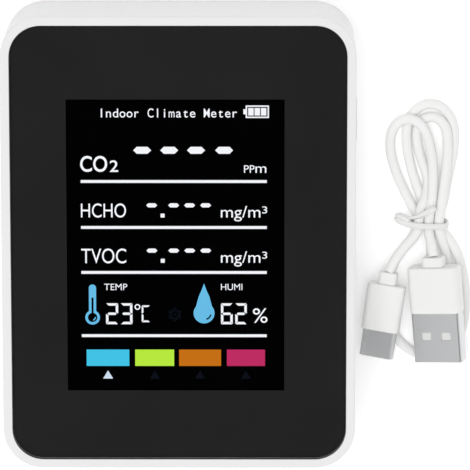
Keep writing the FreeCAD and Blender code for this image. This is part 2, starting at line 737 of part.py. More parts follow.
# ================================================================ battery
BATTERY_X, BATTERY_Y = -3.0, -26.0
BATTERY_SIZE = (58.0, 36.0, 6.0)
BATTERY_ROUND = 1.6
TAPE_SIZE = (44.0, 24.0, 0.5)
PROTECTION_X = (-7.0, 21.0)
PROTECTION_DEPTH = 2.2
PROTECTION_Z = (3.6, 7.2)
LEAD_DIAMETER = 1.1
LEAD_Z = 5.4
LEAD_X = 1.0
HEADER_X, HEADER_Y = 8.0, 10.5
HEADER_SIZE = (8.0, 4.8, 4.5)
HEADER_FLOOR = 1.0
PLUG_LOW = 11.5
PLUG_SIZE = (5.8, 3.2)
PLUG_GAP = 0.1
battery_low = REAR_FLOOR + TAPE_SIZE[2]
battery_top_y = BATTERY_Y + BATTERY_SIZE[1] / 2
plug_high = BOARD_REAR - HEADER_FLOOR


def battery_pouch():
    centre = (BATTERY_X, BATTERY_Y, battery_low + BATTERY_SIZE[2] / 2)
    return rounded_block(centre, BATTERY_SIZE, BATTERY_ROUND)


def battery_tape():
    return centred_block((BATTERY_X, BATTERY_Y, REAR_FLOOR + TAPE_SIZE[2] / 2), TAPE_SIZE)


def battery_protection_board():
    return block(PROTECTION_X, (battery_top_y, battery_top_y + PROTECTION_DEPTH), PROTECTION_Z)


def battery_lead(side):
    """Lead from the protection board up into the plug. side is -1 or 1."""
    x = HEADER_X + side * LEAD_X
    start = Vector(x, battery_top_y + PROTECTION_DEPTH, LEAD_Z)
    corner = Vector(x, HEADER_Y, LEAD_Z)
    end = Vector(x, HEADER_Y, PLUG_LOW)
    tube, radii = tube_along([start, corner, end], LEAD_DIAMETER)
    print("battery lead radii", radii)
    return tube


def battery_plug():
    centre = (HEADER_X, HEADER_Y, (PLUG_LOW + plug_high) / 2)
    return centred_block(centre, (*PLUG_SIZE, plug_high - PLUG_LOW))


def battery_header():
    """Header on the board, open towards the rear for the battery's plug."""
    outer = on_rear(HEADER_X, HEADER_Y, HEADER_SIZE)
    depth = HEADER_SIZE[2] - HEADER_FLOOR + PAST
    cavity = centred_block((HEADER_X, HEADER_Y, plug_high - depth / 2),
                           (PLUG_SIZE[0] + 2 * PLUG_GAP, PLUG_SIZE[1] + 2 * PLUG_GAP, depth))
    return outer.cut(cavity)


# ================================================================ side controls
BUTTON_EDGE_ROUND = 0.35
FLANGE_THICK = 1.0
FLANGE_GAP = 0.1
FLANGE_MARGIN = (1.4, 0.8)
STEM_RADIUS = 1.5


def power_button():
    """Button cap with a retaining flange and a stem that meets the switch."""
    face_x = wall_outer_x + BUTTON_PROUD
    flange_high = wall_inner_x - FLANGE_GAP
    flange_low = flange_high - FLANGE_THICK
    cap = side_slot(BUTTON_LENGTH, BUTTON_WIDTH, flange_low, face_x, BUTTON_Y, SIDE_PART_Z)
    cap = cap.makeFillet(BUTTON_EDGE_ROUND, [e for e in cap.Edges if abs(e.BoundBox.XMin - face_x) < TOLERANCE])
    flange = side_slot(BUTTON_LENGTH + 2 * FLANGE_MARGIN[0], BUTTON_WIDTH + 2 * FLANGE_MARGIN[1],
                       flange_low, flange_high, BUTTON_Y, SIDE_PART_Z)
    stem = rod_x(STEM_RADIUS, PLUNGER_FACE_X, flange_low + FLANGE_GAP, BUTTON_Y, SIDE_PART_Z)
    return fuse_all([cap, flange, stem])


SWITCH_SIZE = (3.6, 6.2)
SWITCH_BELOW_AXIS = 1.7
PLUNGER_GAP = 0.1
PLUNGER_BORE_DEPTH = 1.8
PLUNGER_INSIDE = 1.0


def tact_switch():
    """Side-push switch soldered to the main board, bored for its plunger."""
    body = block((SWITCH_FACE_X - SWITCH_SIZE[0], SWITCH_FACE_X),
                 (BUTTON_Y - SWITCH_SIZE[1] / 2, BUTTON_Y + SWITCH_SIZE[1] / 2),
                 (SIDE_PART_Z - SWITCH_BELOW_AXIS, BOARD_REAR))
    bore = rod_x(PLUNGER_RADIUS + PLUNGER_GAP, SWITCH_FACE_X - PLUNGER_BORE_DEPTH, SWITCH_FACE_X + PAST,
                 BUTTON_Y, SIDE_PART_Z)
    return body.cut(bore)


def switch_plunger():
    return rod_x(PLUNGER_RADIUS, SWITCH_FACE_X - PLUNGER_INSIDE, PLUNGER_FACE_X, BUTTON_Y, SIDE_PART_Z)


FOOT_FIRST = 1.0
FOOT_PITCH = 4.0
FOOT_LENGTH = 1.0
FOOT_THICK = 0.5
FOOT_Y = 4.2
TONGUE_SIZE = (4.6, 6.6, 0.7)
TONGUE_BACK = 1.4
SOCKET_PLUG_DEPTH = 1.6
SOCKET_PLUG_GAP = 0.01
socket_back_x = SOCKET_MOUTH_X - SOCKET_LENGTH


def usb_socket_shell():
    """Metal shell of the charging socket, open towards +X, on four feet."""
    outer = side_slot(SOCKET_WIDTH, SOCKET_HEIGHT, socket_back_x, SOCKET_MOUTH_X, PORT_Y, SIDE_PART_Z)
    inner = side_slot(SOCKET_WIDTH - 2 * SOCKET_WALL, SOCKET_HEIGHT - 2 * SOCKET_WALL, socket_back_x,
                      SOCKET_MOUTH_X, PORT_Y, SIDE_PART_Z)
    feet = []
    for i in (0, 1):
        x = socket_back_x + FOOT_FIRST + i * FOOT_PITCH
        for side in (-1, 1):
            y = PORT_Y + side * FOOT_Y
            foot = block((x, x + FOOT_LENGTH), (y - FOOT_THICK / 2, y + FOOT_THICK / 2),
                         (SIDE_PART_Z, BOARD_REAR))
            feet.append(foot.cut(outer))
    return fuse_all([outer.cut(inner)] + feet)


def usb_socket_tongue():
    """Insulator with the tongue, closing the back of the socket."""
    lining = SOCKET_WALL + SOCKET_PLUG_GAP
    plug = side_slot(SOCKET_WIDTH - 2 * lining, SOCKET_HEIGHT - 2 * lining, socket_back_x,
                     socket_back_x + SOCKET_PLUG_DEPTH, PORT_Y, SIDE_PART_Z)
    tongue = centred_block((socket_back_x + TONGUE_BACK + TONGUE_SIZE[0] / 2, PORT_Y, SIDE_PART_Z), TONGUE_SIZE)
    return fuse_all([plug, tongue])


# ================================================================ screws
CASE_HEAD_ROUND = 0.5
CASE_RECESS = (2.6, 0.6, 1.2)
CASE_RECESS_Z = 1.1
BOARD_HEAD_HEIGHT = 1.3
BOARD_RECESS = (2.0, 0.5, 0.9)
BOARD_RECESS_BELOW = 1.1


def cross_recess(x, y, z, size):
    """Cross of two bars, of a given length, width and depth."""
    length, width, depth = size
    return fuse_all([centred_block((x, y, z), (length, width, depth)),
                     centred_block((x, y, z), (width, length, depth))])


def housing_screws():
    """Four self-tapping screws through the rear cover, each with a cross recess."""
    screws = []
    head_low, head_high = CASE_SCREW_HEAD_Z
    for x, y in four_corners(BOSS_X, BOSS_Y):
        head = rod(CASE_SCREW_HEAD, head_low, head_high, x, y)
        head = head.makeFillet(CASE_HEAD_ROUND, edges_at(head, head_low))
        shank = rod(CASE_SCREW_RADIUS, head_high, CASE_SCREW_END, x, y)
        screws.append(fuse_all([head, shank]).cut(cross_recess(x, y, CASE_RECESS_Z, CASE_RECESS)))
    return Part.makeCompound(screws)


def board_screws():
    """Four screws that hold the main board to the standoffs."""
    screws = []
    for x, y in four_corners(STANDOFF_X, STANDOFF_Y):
        head = rod(BOARD_SCREW_HEAD, BOARD_REAR - BOARD_HEAD_HEIGHT, BOARD_REAR, x, y)
        shank = rod(BOARD_SCREW_RADIUS, BOARD_REAR, BOARD_SCREW_END, x, y)
        recess = cross_recess(x, y, BOARD_REAR - BOARD_RECESS_BELOW, BOARD_RECESS)
        screws.append(fuse_all([head, shank]).cut(recess))
    return Part.makeCompound(screws)


# ================================================================ charging cable
# A plug is drawn along -Y from the cable's end at its origin, broad face up, then set in place.
# Its pieces are given as width, height and length; its places as across, along and above the hank.
A_NECK = (5.4, 4.0, 2.4)
A_GRIP = (12.8, 5.4, 11.4)
A_SHELL = (12.0, 4.5, 12.0)
A_END = (1.05, -7.6, 6.9)
A_MIDDLE = (0.6, -4.9, 5.95)
A_WAIST_U = 0.0
A_ROLL = -20.0
A_SWING = 4.6
C_NECK = (4.6, 3.4, 3.0)
C_GRIP = (9.2, 4.6, 11.6)
C_SHELL = (8.34, 2.56, 6.6)
C_END = (-9.6, -11.6, 5.6)
C_MIDDLE = (-7.6, -7.4, 5.3)
C_WAIST_U = -2.45
C_ROLL = -10.0
C_SWING = -8.0
NECK_CORNER = 1.2
NECK_ROUND = 0.3
GRIP_ROUND = 0.5


def in_hank(u, v, z):
    """Point of the hank, from its place across, along and above the surface at the tie."""
    return Vector(TIE_CENTRE.x + u, TIE_CENTRE.y + v, z)


def set_plug(shape, end, roll, swing):
    """Turns a plug about its own length, swings it on the surface and moves it to its cable's end."""
    turn = Rotation(Vector(0, 0, 1), swing).multiply(Rotation(Vector(0, 1, 0), roll))
    placed = shape.copy()
    placed.Placement = Placement(in_hank(*end), turn)
    return placed


def plug_section(size, radius, y_far, y_near):
    """Round-cornered bar along Y."""
    outline = rounded_outline(size[0], size[1], radius, 0)
    bar = Part.Face(outline).extrude(Vector(0, 0, y_near - y_far))
    bar.Placement = Placement(Vector(0, y_near, 0), Rotation(Vector(1, 0, 0), 90))
    return bar


def round_ends(bar, radius):
    """Rounds the edges at both ends of a bar that runs along Y."""
    return bar.makeFillet(radius, [e for e in bar.Edges if e.BoundBox.YLength < TOLERANCE])


def set_a(shape):
    return set_plug(shape, A_END, A_ROLL, A_SWING)


def set_c(shape):
    return set_plug(shape, C_END, C_ROLL, C_SWING)


a_grip_y = (-A_NECK[2] - A_GRIP[2], -A_NECK[2])
a_tip_y = a_grip_y[0] - A_SHELL[2]
c_grip_y = (-C_NECK[2] - C_GRIP[2], -C_NECK[2])
c_tip_y = c_grip_y[0] - C_SHELL[2]


def usb_a_relief():
    return set_a(round_ends(plug_section(A_NECK, NECK_CORNER, a_grip_y[1], 0), NECK_ROUND))


A_GRIP_CORNER = 1.6


def usb_a_overmould():
    return set_a(round_ends(plug_section(A_GRIP, A_GRIP_CORNER, *a_grip_y), GRIP_ROUND))


A_WALL = 0.32
A_SHELL_CORNERS = (0.5, 0.3)
A_WINDOW = (2.4, 2.0)
A_WINDOW_X = 2.5
A_WINDOW_FROM_TIP = 6.4


def usb_a_shell():
    """Folded steel shell with two square windows in each broad face."""
    span = (a_tip_y, a_grip_y[0])
    outer = plug_section(A_SHELL, A_SHELL_CORNERS[0], *span)
    inner = plug_section((A_SHELL[0] - 2 * A_WALL, A_SHELL[1] - 2 * A_WALL), A_SHELL_CORNERS[1], *span)
    window_size = (*A_WINDOW, A_SHELL[1] + PAST)
    windows = [centred_block((side * A_WINDOW_X, a_tip_y + A_WINDOW_FROM_TIP, 0), window_size)
               for side in (-1, 1)]
    return set_a(outer.cut(inner).cut(Part.makeCompound(windows)))


A_TONGUE_WIDTH = 11.0
A_TONGUE_Z = (0.08, 1.82)
A_TONGUE_FROM_TIP = 0.4
A_BACK_DEPTH = 1.2
A_BACK_LOW = -1.86
A_CONTACTS = ((-3.5, 8.2), (-1.0, 7.0), (1.0, 7.0), (3.5, 8.2))
A_CONTACT_WIDTH = 1.0
A_CONTACT_Z = (-0.25, 0.03)
A_CONTACT_BACK = 1.3


def usb_a_insert():
    """Insulator tongue under the upper face of the shell, with a block that closes the shell's back."""
    half = A_TONGUE_WIDTH / 2
    tongue = block((-half, half), (a_tip_y + A_TONGUE_FROM_TIP, a_grip_y[0]), A_TONGUE_Z)
    back = block((-half, half), (a_grip_y[0] - A_BACK_DEPTH, a_grip_y[0]), (A_BACK_LOW, A_TONGUE_Z[0]))
    return set_a(fuse_all([tongue, back]))


def usb_a_contacts():
    """Two long and two short contact strips on the tongue: place across and length of each."""
    strips = []
    y_high = a_grip_y[0] - A_CONTACT_BACK
    for x, length in A_CONTACTS:
        strips.append(block((x - A_CONTACT_WIDTH / 2, x + A_CONTACT_WIDTH / 2), (y_high - length, y_high),
                            A_CONTACT_Z))
    return set_a(Part.makeCompound(strips))


def usb_c_relief():
    return set_c(round_ends(plug_section(C_NECK, NECK_CORNER, c_grip_y[1], 0), NECK_ROUND))


C_GRIP_CORNER = 1.5
C_WALL = 0.3
C_INSERT_GAP = 0.01
C_INSERT_FROM_TIP = 0.4
C_SLOT_SIZE = (6.8, 5.4, 0.8)
C_SLOT_FROM_TIP = -0.1


def usb_c_overmould():
    return set_c(round_ends(plug_section(C_GRIP, C_GRIP_CORNER, *c_grip_y), GRIP_ROUND))


def flattened_tube(inset, y_far, y_near):
    """Bar with the rounded outline of the smaller plug's shell, smaller all round by the inset."""
    size = (C_SHELL[0] - 2 * inset, C_SHELL[1] - 2 * inset)
    return plug_section(size, size[1] / 2 - NEARLY_ROUND, y_far, y_near)


def usb_c_shell():
    span = (c_tip_y, c_grip_y[0])
    return set_c(flattened_tube(0, *span).cut(flattened_tube(C_WALL, *span)))


def usb_c_insert():
    """Black insulator lining with the slot for the socket's tongue."""
    body = flattened_tube(C_WALL + C_INSERT_GAP, c_tip_y + C_INSERT_FROM_TIP, c_grip_y[0])
    slot_y = c_tip_y + C_SLOT_FROM_TIP + C_SLOT_SIZE[1] / 2
    return set_c(body.cut(centred_block((0, slot_y, 0), C_SLOT_SIZE)))


UPPER_LOOPS = [(-3.9, 2.2), (-7.4, 8.0), (-9.6, 13.5), (-10.7, 18.5), (-10.4, 23.6), (-7.5, 26.9), (-4.4, 28.4),
               (-1.0, 30.2), (3.1, 29.8), (6.6, 26.2), (7.5, 20.8), (6.7, 14.6), (5.6, 8.6), (3.9, 2.2)]
LOWER_LOOPS = [(3.9, -2.2), (7.6, -6.0), (9.9, -12.0), (10.5, -18.4), (10.2, -24.8), (8.0, -31.2), (3.4, -35.1),
               (-2.4, -34.6), (-7.9, -30.6), (-10.8, -25.0), (-11.6, -19.0), (-10.8, -13.0), (-8.4, -7.4),
               (-3.9, -2.2)]
# Half width, length and height of a box that takes in either set of loops.
HANK_SPACE = (20.0, 50.0, 20.0)
TIE_CLEARANCE = 0.6


def hank_outline(points, height):
    """Closed solid under a smooth outline through points of the hank."""
    curve = Part.BSplineCurve()
    curve.interpolate([in_hank(u, v, 0) for u, v in points], PeriodicFlag=True)
    return Part.Face(Part.Wire(curve.toShape())).extrude(Vector(0, 0, height))


def cable_hank():
    """Outer shape of the folded cable: upper loops, tied waist and lower loops."""
    half, length, top = HANK_SPACE
    across = (TIE_CENTRE.x - half, TIE_CENTRE.x + half)
    above_tie = TIE_CENTRE.y + TIE_WIDTH / 2 + TIE_CLEARANCE
    below_tie = TIE_CENTRE.y + LEAD_START_V
    upper_space = block(across, (above_tie, above_tie + length), (0, top))
    lower_space = block(across, (below_tie - length, below_tie), (0, top))
    upper = hank_outline(UPPER_LOOPS, LOOP_HEIGHT).common(upper_space)
    lower = hank_outline(LOWER_LOOPS, PAD_HEIGHT).common(lower_space)
    waist = centred_block((TIE_CENTRE.x, TIE_CENTRE.y, TIE_THICK + WAIST_HEIGHT / 2),
                          (2 * WAIST_HALF_WIDTH, 2 * abs(LEAD_START_V), WAIST_HEIGHT))
    return fuse_all([upper, waist, lower])


TIE_TAIL_SIZE = (4.4, 2.2, 1.9)
TIE_TAIL_CENTRE = (-6.4, 0.2, 4.6)


def cable_tie():
    """Coated wire tie round the waist, with its twisted tail at the -X side."""
    size = (2 * (WAIST_HALF_WIDTH + TIE_THICK), TIE_WIDTH, WAIST_HEIGHT + 2 * TIE_THICK)
    centre = (TIE_CENTRE.x, TIE_CENTRE.y, size[2] / 2)
    band = centred_block(centre, size)
    long_edges = [e for e in band.Edges if abs(e.BoundBox.YLength - TIE_WIDTH) < TOLERANCE]
    band = band.makeFillet(TIE_THICK, long_edges)
    hole = centred_block(centre, (2 * WAIST_HALF_WIDTH, TIE_WIDTH + PAST, WAIST_HEIGHT))
    tail = centred_block(in_hank(*TIE_TAIL_CENTRE), TIE_TAIL_SIZE)
    return fuse_all([band.cut(hole), tail])


def cable_lead(end, middle, waist_u):
    """Short stretch of cable from a plug to the waist, in one gentle bend."""
    waist_end = in_hank(waist_u, LEAD_START_V, LEAD_LEVEL)
    tube, radii = tube_along([in_hank(*end), in_hank(*middle), waist_end], CABLE_DIAMETER)
    print("cable lead radii", radii)
    return tube


def cable_lead_a():
    return cable_lead(A_END, A_MIDDLE, A_WAIST_U)


def cable_lead_c():
    return cable_lead(C_END, C_MIDDLE, C_WAIST_U)


# ================================================================ export
NODES = {
    "front_case": front_case,
    "rear_cover": rear_cover,
    "dust_filter": dust_filter,
    "front_lens": front_lens,
    "lens_mask": lens_mask,
    "lens_adhesive": lens_adhesive,
    "lcd_gasket": lcd_gasket,
    "lcd_front_polariser": lcd_front_polariser,
    "lcd_upper_glass": lcd_upper_glass,
    "lcd_lower_glass": lcd_lower_glass,
    "lcd_rear_polariser": lcd_rear_polariser,
    "backlight_diffuser": backlight_diffuser,
    "light_guide": light_guide,
    "backlight_reflector": backlight_reflector,
    "backlight_leds": backlight_leds,
    "lcd_holder": lcd_holder,
    "lcd_flex": lcd_flex,
    "flex_connector": flex_connector,
    "main_board": main_board,
    "microcontroller": microcontroller,
    "charger_chip": charger_chip,
    "power_inductor": power_inductor,
    "crystal": crystal,
    "board_passives": board_passives,
    "co2_sensor_board": co2_sensor_board,
    "co2_sensor_chamber": co2_sensor_chamber,
    "co2_sensor_pins": co2_sensor_pins,
    "formaldehyde_sensor": formaldehyde_sensor,
    "voc_sensor": voc_sensor,
    "humidity_sensor": humidity_sensor,
    "buzzer": buzzer,
    "battery_pouch": battery_pouch,
    "battery_tape": battery_tape,
    "battery_protection_board": battery_protection_board,
    "battery_lead_red": lambda: battery_lead(1),
    "battery_lead_black": lambda: battery_lead(-1),
    "battery_plug": battery_plug,
    "battery_header": battery_header,
    "power_button": power_button,
    "tact_switch": tact_switch,
    "switch_plunger": switch_plunger,
    "usb_socket_shell": usb_socket_shell,
    "usb_socket_tongue": usb_socket_tongue,
    "housing_screws": housing_screws,
    "board_screws": board_screws,
    "usb_a_relief": usb_a_relief,
    "usb_a_overmould": usb_a_overmould,
    "usb_a_shell": usb_a_shell,
    "usb_a_insert": usb_a_insert,
    "usb_a_contacts": usb_a_contacts,
    "usb_c_relief": usb_c_relief,
    "usb_c_overmould": usb_c_overmould,
    "usb_c_shell": usb_c_shell,
    "usb_c_insert": usb_c_insert,
    "cable_tie": cable_tie,
    "cable_hank": cable_hank,
    "cable_lead_a": cable_lead_a,
    "cable_lead_c": cable_lead_c,
}


def main():
    os.makedirs("parts", exist_ok=True)
    for name, build in NODES.items():
        shape = build()
        if not shape.isValid() or not shape.Solids:
            print("check this shape:", name)
        shape.exportStep(os.path.join("parts", name + ".step"))
    print(len(NODES), "nodes written")


main()
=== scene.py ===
import math

import bmesh
import bpy
from mathutils import Matrix, Vector


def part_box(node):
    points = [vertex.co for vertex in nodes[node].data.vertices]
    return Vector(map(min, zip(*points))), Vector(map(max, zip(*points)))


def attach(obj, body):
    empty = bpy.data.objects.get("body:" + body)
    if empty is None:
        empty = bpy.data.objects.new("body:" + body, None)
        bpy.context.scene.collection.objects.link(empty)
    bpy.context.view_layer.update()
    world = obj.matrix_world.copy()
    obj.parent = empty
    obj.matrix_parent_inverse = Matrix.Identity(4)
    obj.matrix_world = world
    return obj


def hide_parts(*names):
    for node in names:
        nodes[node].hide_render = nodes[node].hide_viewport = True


# Units: the frame is in metres. Sizes below are in millimetres unless their name says otherwise.
MM = 0.001

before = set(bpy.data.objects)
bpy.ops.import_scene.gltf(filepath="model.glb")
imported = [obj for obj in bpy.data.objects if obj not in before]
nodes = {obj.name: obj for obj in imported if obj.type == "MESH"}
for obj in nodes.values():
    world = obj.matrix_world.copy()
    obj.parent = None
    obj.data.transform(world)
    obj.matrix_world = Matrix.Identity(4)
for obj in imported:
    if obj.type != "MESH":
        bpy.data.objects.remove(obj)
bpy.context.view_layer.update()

# ---------------------------------------------------------------- places read from the frame
glass_top_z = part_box("lcd_front_polariser")[1].z
lens_low, lens_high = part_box("front_lens")
lens_middle_z = (lens_low.z + lens_high.z) / 2
mask_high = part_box("lens_mask")[1]
TIE_HALF_WIDTH = 4.5
tie_low, tie_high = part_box("cable_tie")
waist_x = tie_high.x / MM - TIE_HALF_WIDTH
waist_y = (tie_low.y + tie_high.y) / 2 / MM


# ================================================================ camera, light and floor
CAMERA_PLACE = (19.35, 198.4, 1028.9)
CAMERA_TURN_DEG = (-11.087, 0.336, 0.023)
LENS_MM = 329.6
SENSOR_MM = 36.0
CLIP_START_M = 0.05


def add_camera():
    data = bpy.data.cameras.new("camera")
    data.lens = LENS_MM
    data.sensor_width = SENSOR_MM
    data.clip_start = CLIP_START_M
    camera = bpy.data.objects.new("camera", data)
    camera.location = Vector(CAMERA_PLACE) * MM
    camera.rotation_mode = "ZYX"
    camera.rotation_euler = [math.radians(a) for a in CAMERA_TURN_DEG]
    bpy.context.collection.objects.link(camera)
    bpy.context.scene.camera = camera


SKY_DIFFUSE = 0.57
SKY_MIRRORED = 0.8
DARK_CARD_DIRECTION = (-0.006, -0.192, 0.981)
DARK_CARD_INNER_DEG = 12.0
DARK_CARD_OUTER_DEG = 24.0


def add_world():
    """Even white studio light, with a soft black card overhead for polished faces to mirror."""
    world = bpy.data.worlds.new("studio")
    world.use_nodes = True
    bpy.context.scene.world = world
    tree = world.node_tree
    tree.nodes.clear()
    output = tree.nodes.new("ShaderNodeOutputWorld")
    mix = tree.nodes.new("ShaderNodeMixShader")
    path = tree.nodes.new("ShaderNodeLightPath")
    even = tree.nodes.new("ShaderNodeBackground")
    even.inputs["Strength"].default_value = SKY_DIFFUSE
    even.inputs["Color"].default_value = (1, 1, 1, 1)
    mirrored = tree.nodes.new("ShaderNodeBackground")
    mirrored.inputs["Color"].default_value = (1, 1, 1, 1)
    place = tree.nodes.new("ShaderNodeTexCoord")
    towards_card = tree.nodes.new("ShaderNodeVectorMath")
    towards_card.operation = "DOT_PRODUCT"
    towards_card.inputs[1].default_value = DARK_CARD_DIRECTION
    fade = tree.nodes.new("ShaderNodeMapRange")
    fade.interpolation_type = "SMOOTHSTEP"
    fade.inputs["From Min"].default_value = math.cos(math.radians(DARK_CARD_OUTER_DEG))
    fade.inputs["From Max"].default_value = math.cos(math.radians(DARK_CARD_INNER_DEG))
    fade.inputs["To Min"].default_value = SKY_MIRRORED
    fade.inputs["To Max"].default_value = 0.0
    link = tree.links.new
    link(place.outputs["Generated"], towards_card.inputs[0])
    link(towards_card.outputs["Value"], fade.inputs["Value"])
    link(fade.outputs["Result"], mirrored.inputs["Strength"])
    link(path.outputs["Is Glossy Ray"], mix.inputs["Fac"])
    link(even.outputs[0], mix.inputs[1])
    link(mirrored.outputs[0], mix.inputs[2])
    link(mix.outputs[0], output.inputs["Surface"])


KEY_PLACE = (-0.1, 0.0, 1.6)
KEY_TARGET = (0.0, 0.0, 0.0)
KEY_SIZE_M = 1.0
KEY_WATTS = 13.0


def add_key_light():
    """Broad soft light from above. Polished faces don't mirror it."""
    data = bpy.data.lights.new("key", "AREA")
    data.shape = "RECTANGLE"
    data.size = KEY_SIZE_M
    data.size_y = KEY_SIZE_M
    data.energy = KEY_WATTS
    light = bpy.data.objects.new("key", data)
    light.location = Vector(KEY_PLACE)
    light.rotation_euler = (Vector(KEY_TARGET) - Vector(KEY_PLACE)).to_track_quat("-Z", "Y").to_euler()
    light.visible_glossy = False
    bpy.context.collection.objects.link(light)


FLOOR_HALF_M = 3.0
FLOOR_Z_M = -0.00005
FLOOR_GLOW = 0.2


def add_floor():
    """White ground that glows a little, as an evenly lit backdrop does."""
    mesh = bpy.data.meshes.new("floor")
    shape = bmesh.new()
    sides = ((-1, -1), (1, -1), (1, 1), (-1, 1))
    shape.faces.new([shape.verts.new((x * FLOOR_HALF_M, y * FLOOR_HALF_M, FLOOR_Z_M)) for x, y in sides])
    shape.to_mesh(mesh)
    shape.free()
    floor = bpy.data.objects.new("floor", mesh)
    bpy.context.collection.objects.link(floor)
    material = finish_of("floor_white", srgb(249, 249, 249), roughness=0.8, grain=0.0)
    shader = material.node_tree.nodes["shader"]
    shader.inputs["Emission Color"].default_value = (1, 1, 1, 1)
    shader.inputs["Emission Strength"].default_value = FLOOR_GLOW
    mesh.materials.append(material)


# ================================================================ materials
def srgb(r, g, b):
    """Linear colour of an 8-bit display colour."""
    def linear(c):
        c = c / 255
        return c / 12.92 if c <= 0.04045 else ((c + 0.055) / 1.055) ** 2.4
    return (linear(r), linear(g), linear(b), 1.0)


# Noise scales count waves in a metre.
DRIFT_SCALE = 40.0
DRIFT_DETAIL = 4.0
GRAIN_DETAIL = 3.0
GRAIN_DEPTH_M = 0.00005


def finish_of(name, colour, roughness=0.5, metallic=0.0, grain=0.15, grain_scale=900.0, tint=0.03,
              roughness_spread=0.06, glow=None, specular=0.5, flat=False):
    """Procedural finish: fine surface grain, a slight drift of colour and of roughness.

    A flat finish takes each face's own direction, not the one shared with its neighbours.
    """
    material = bpy.data.materials.new(name)
    material.use_nodes = True
    tree = material.node_tree
    shader = tree.nodes["Principled BSDF"]
    shader.name = "shader"
    shader.inputs["Metallic"].default_value = metallic
    shader.inputs["Specular IOR Level"].default_value = specular
    link = tree.links.new
    place = tree.nodes.new("ShaderNodeTexCoord")
    drift = tree.nodes.new("ShaderNodeTexNoise")
    drift.inputs["Scale"].default_value = DRIFT_SCALE
    drift.inputs["Detail"].default_value = DRIFT_DETAIL
    link(place.outputs["Object"], drift.inputs["Vector"])
    shades = tree.nodes.new("ShaderNodeMix")
    shades.data_type = "RGBA"
    shades.inputs["A"].default_value = tuple(c * (1 - tint) for c in colour[:3]) + (1.0,)
    shades.inputs["B"].default_value = tuple(min(1.0, c * (1 + tint)) for c in colour[:3]) + (1.0,)
    link(drift.outputs["Fac"], shades.inputs["Factor"])
    link(shades.outputs["Result"], shader.inputs["Base Color"])
    spread = tree.nodes.new("ShaderNodeMapRange")
    spread.inputs["To Min"].default_value = max(0.0, roughness - roughness_spread)
    spread.inputs["To Max"].default_value = min(1.0, roughness + roughness_spread)
    link(drift.outputs["Fac"], spread.inputs["Value"])
    link(spread.outputs["Result"], shader.inputs["Roughness"])
    if grain > 0:
        fine = tree.nodes.new("ShaderNodeTexNoise")
        fine.inputs["Scale"].default_value = grain_scale
        fine.inputs["Detail"].default_value = GRAIN_DETAIL
        bump = tree.nodes.new("ShaderNodeBump")
        bump.inputs["Strength"].default_value = grain
        bump.inputs["Distance"].default_value = GRAIN_DEPTH_M
        link(place.outputs["Object"], fine.inputs["Vector"])
        link(fine.outputs["Fac"], bump.inputs["Height"])
        link(bump.outputs["Normal"], shader.inputs["Normal"])
        if flat:
            facing = tree.nodes.new("ShaderNodeNewGeometry")
            link(facing.outputs["True Normal"], bump.inputs["Normal"])
    if glow:
        shader.inputs["Emission Color"].default_value = glow
        shader.inputs["Emission Strength"].default_value = 1.0
    return material


LINES_SCALE = 700.0
LINES_STRENGTH = 0.12
LINES_DEPTH_M = 0.00003


def brushed(name, colour, roughness=0.28, stretch=(1.0, 40.0, 1.0)):
    """Metal with fine drawing lines."""
    material = finish_of(name, colour, roughness=roughness, metallic=1.0, grain=0.0, tint=0.04)
    tree = material.node_tree
    shader = tree.nodes["shader"]
    place = tree.nodes.new("ShaderNodeTexCoord")
    mapping = tree.nodes.new("ShaderNodeMapping")
    mapping.inputs["Scale"].default_value = stretch
    lines = tree.nodes.new("ShaderNodeTexNoise")
    lines.inputs["Scale"].default_value = LINES_SCALE
    bump = tree.nodes.new("ShaderNodeBump")
    bump.inputs["Strength"].default_value = LINES_STRENGTH
    bump.inputs["Distance"].default_value = LINES_DEPTH_M
    link = tree.links.new
    link(place.outputs["Object"], mapping.inputs["Vector"])
    link(mapping.outputs["Vector"], lines.inputs["Vector"])
    link(lines.outputs["Fac"], bump.inputs["Height"])
    link(bump.outputs["Normal"], shader.inputs["Normal"])
    return material


LENS_INDEX = 1.4
LENS_ROUGHNESS = 0.03
WAVES_SCALE = 14.0
WAVES_STRENGTH = 0.05
WAVES_DEPTH_M = 0.0002


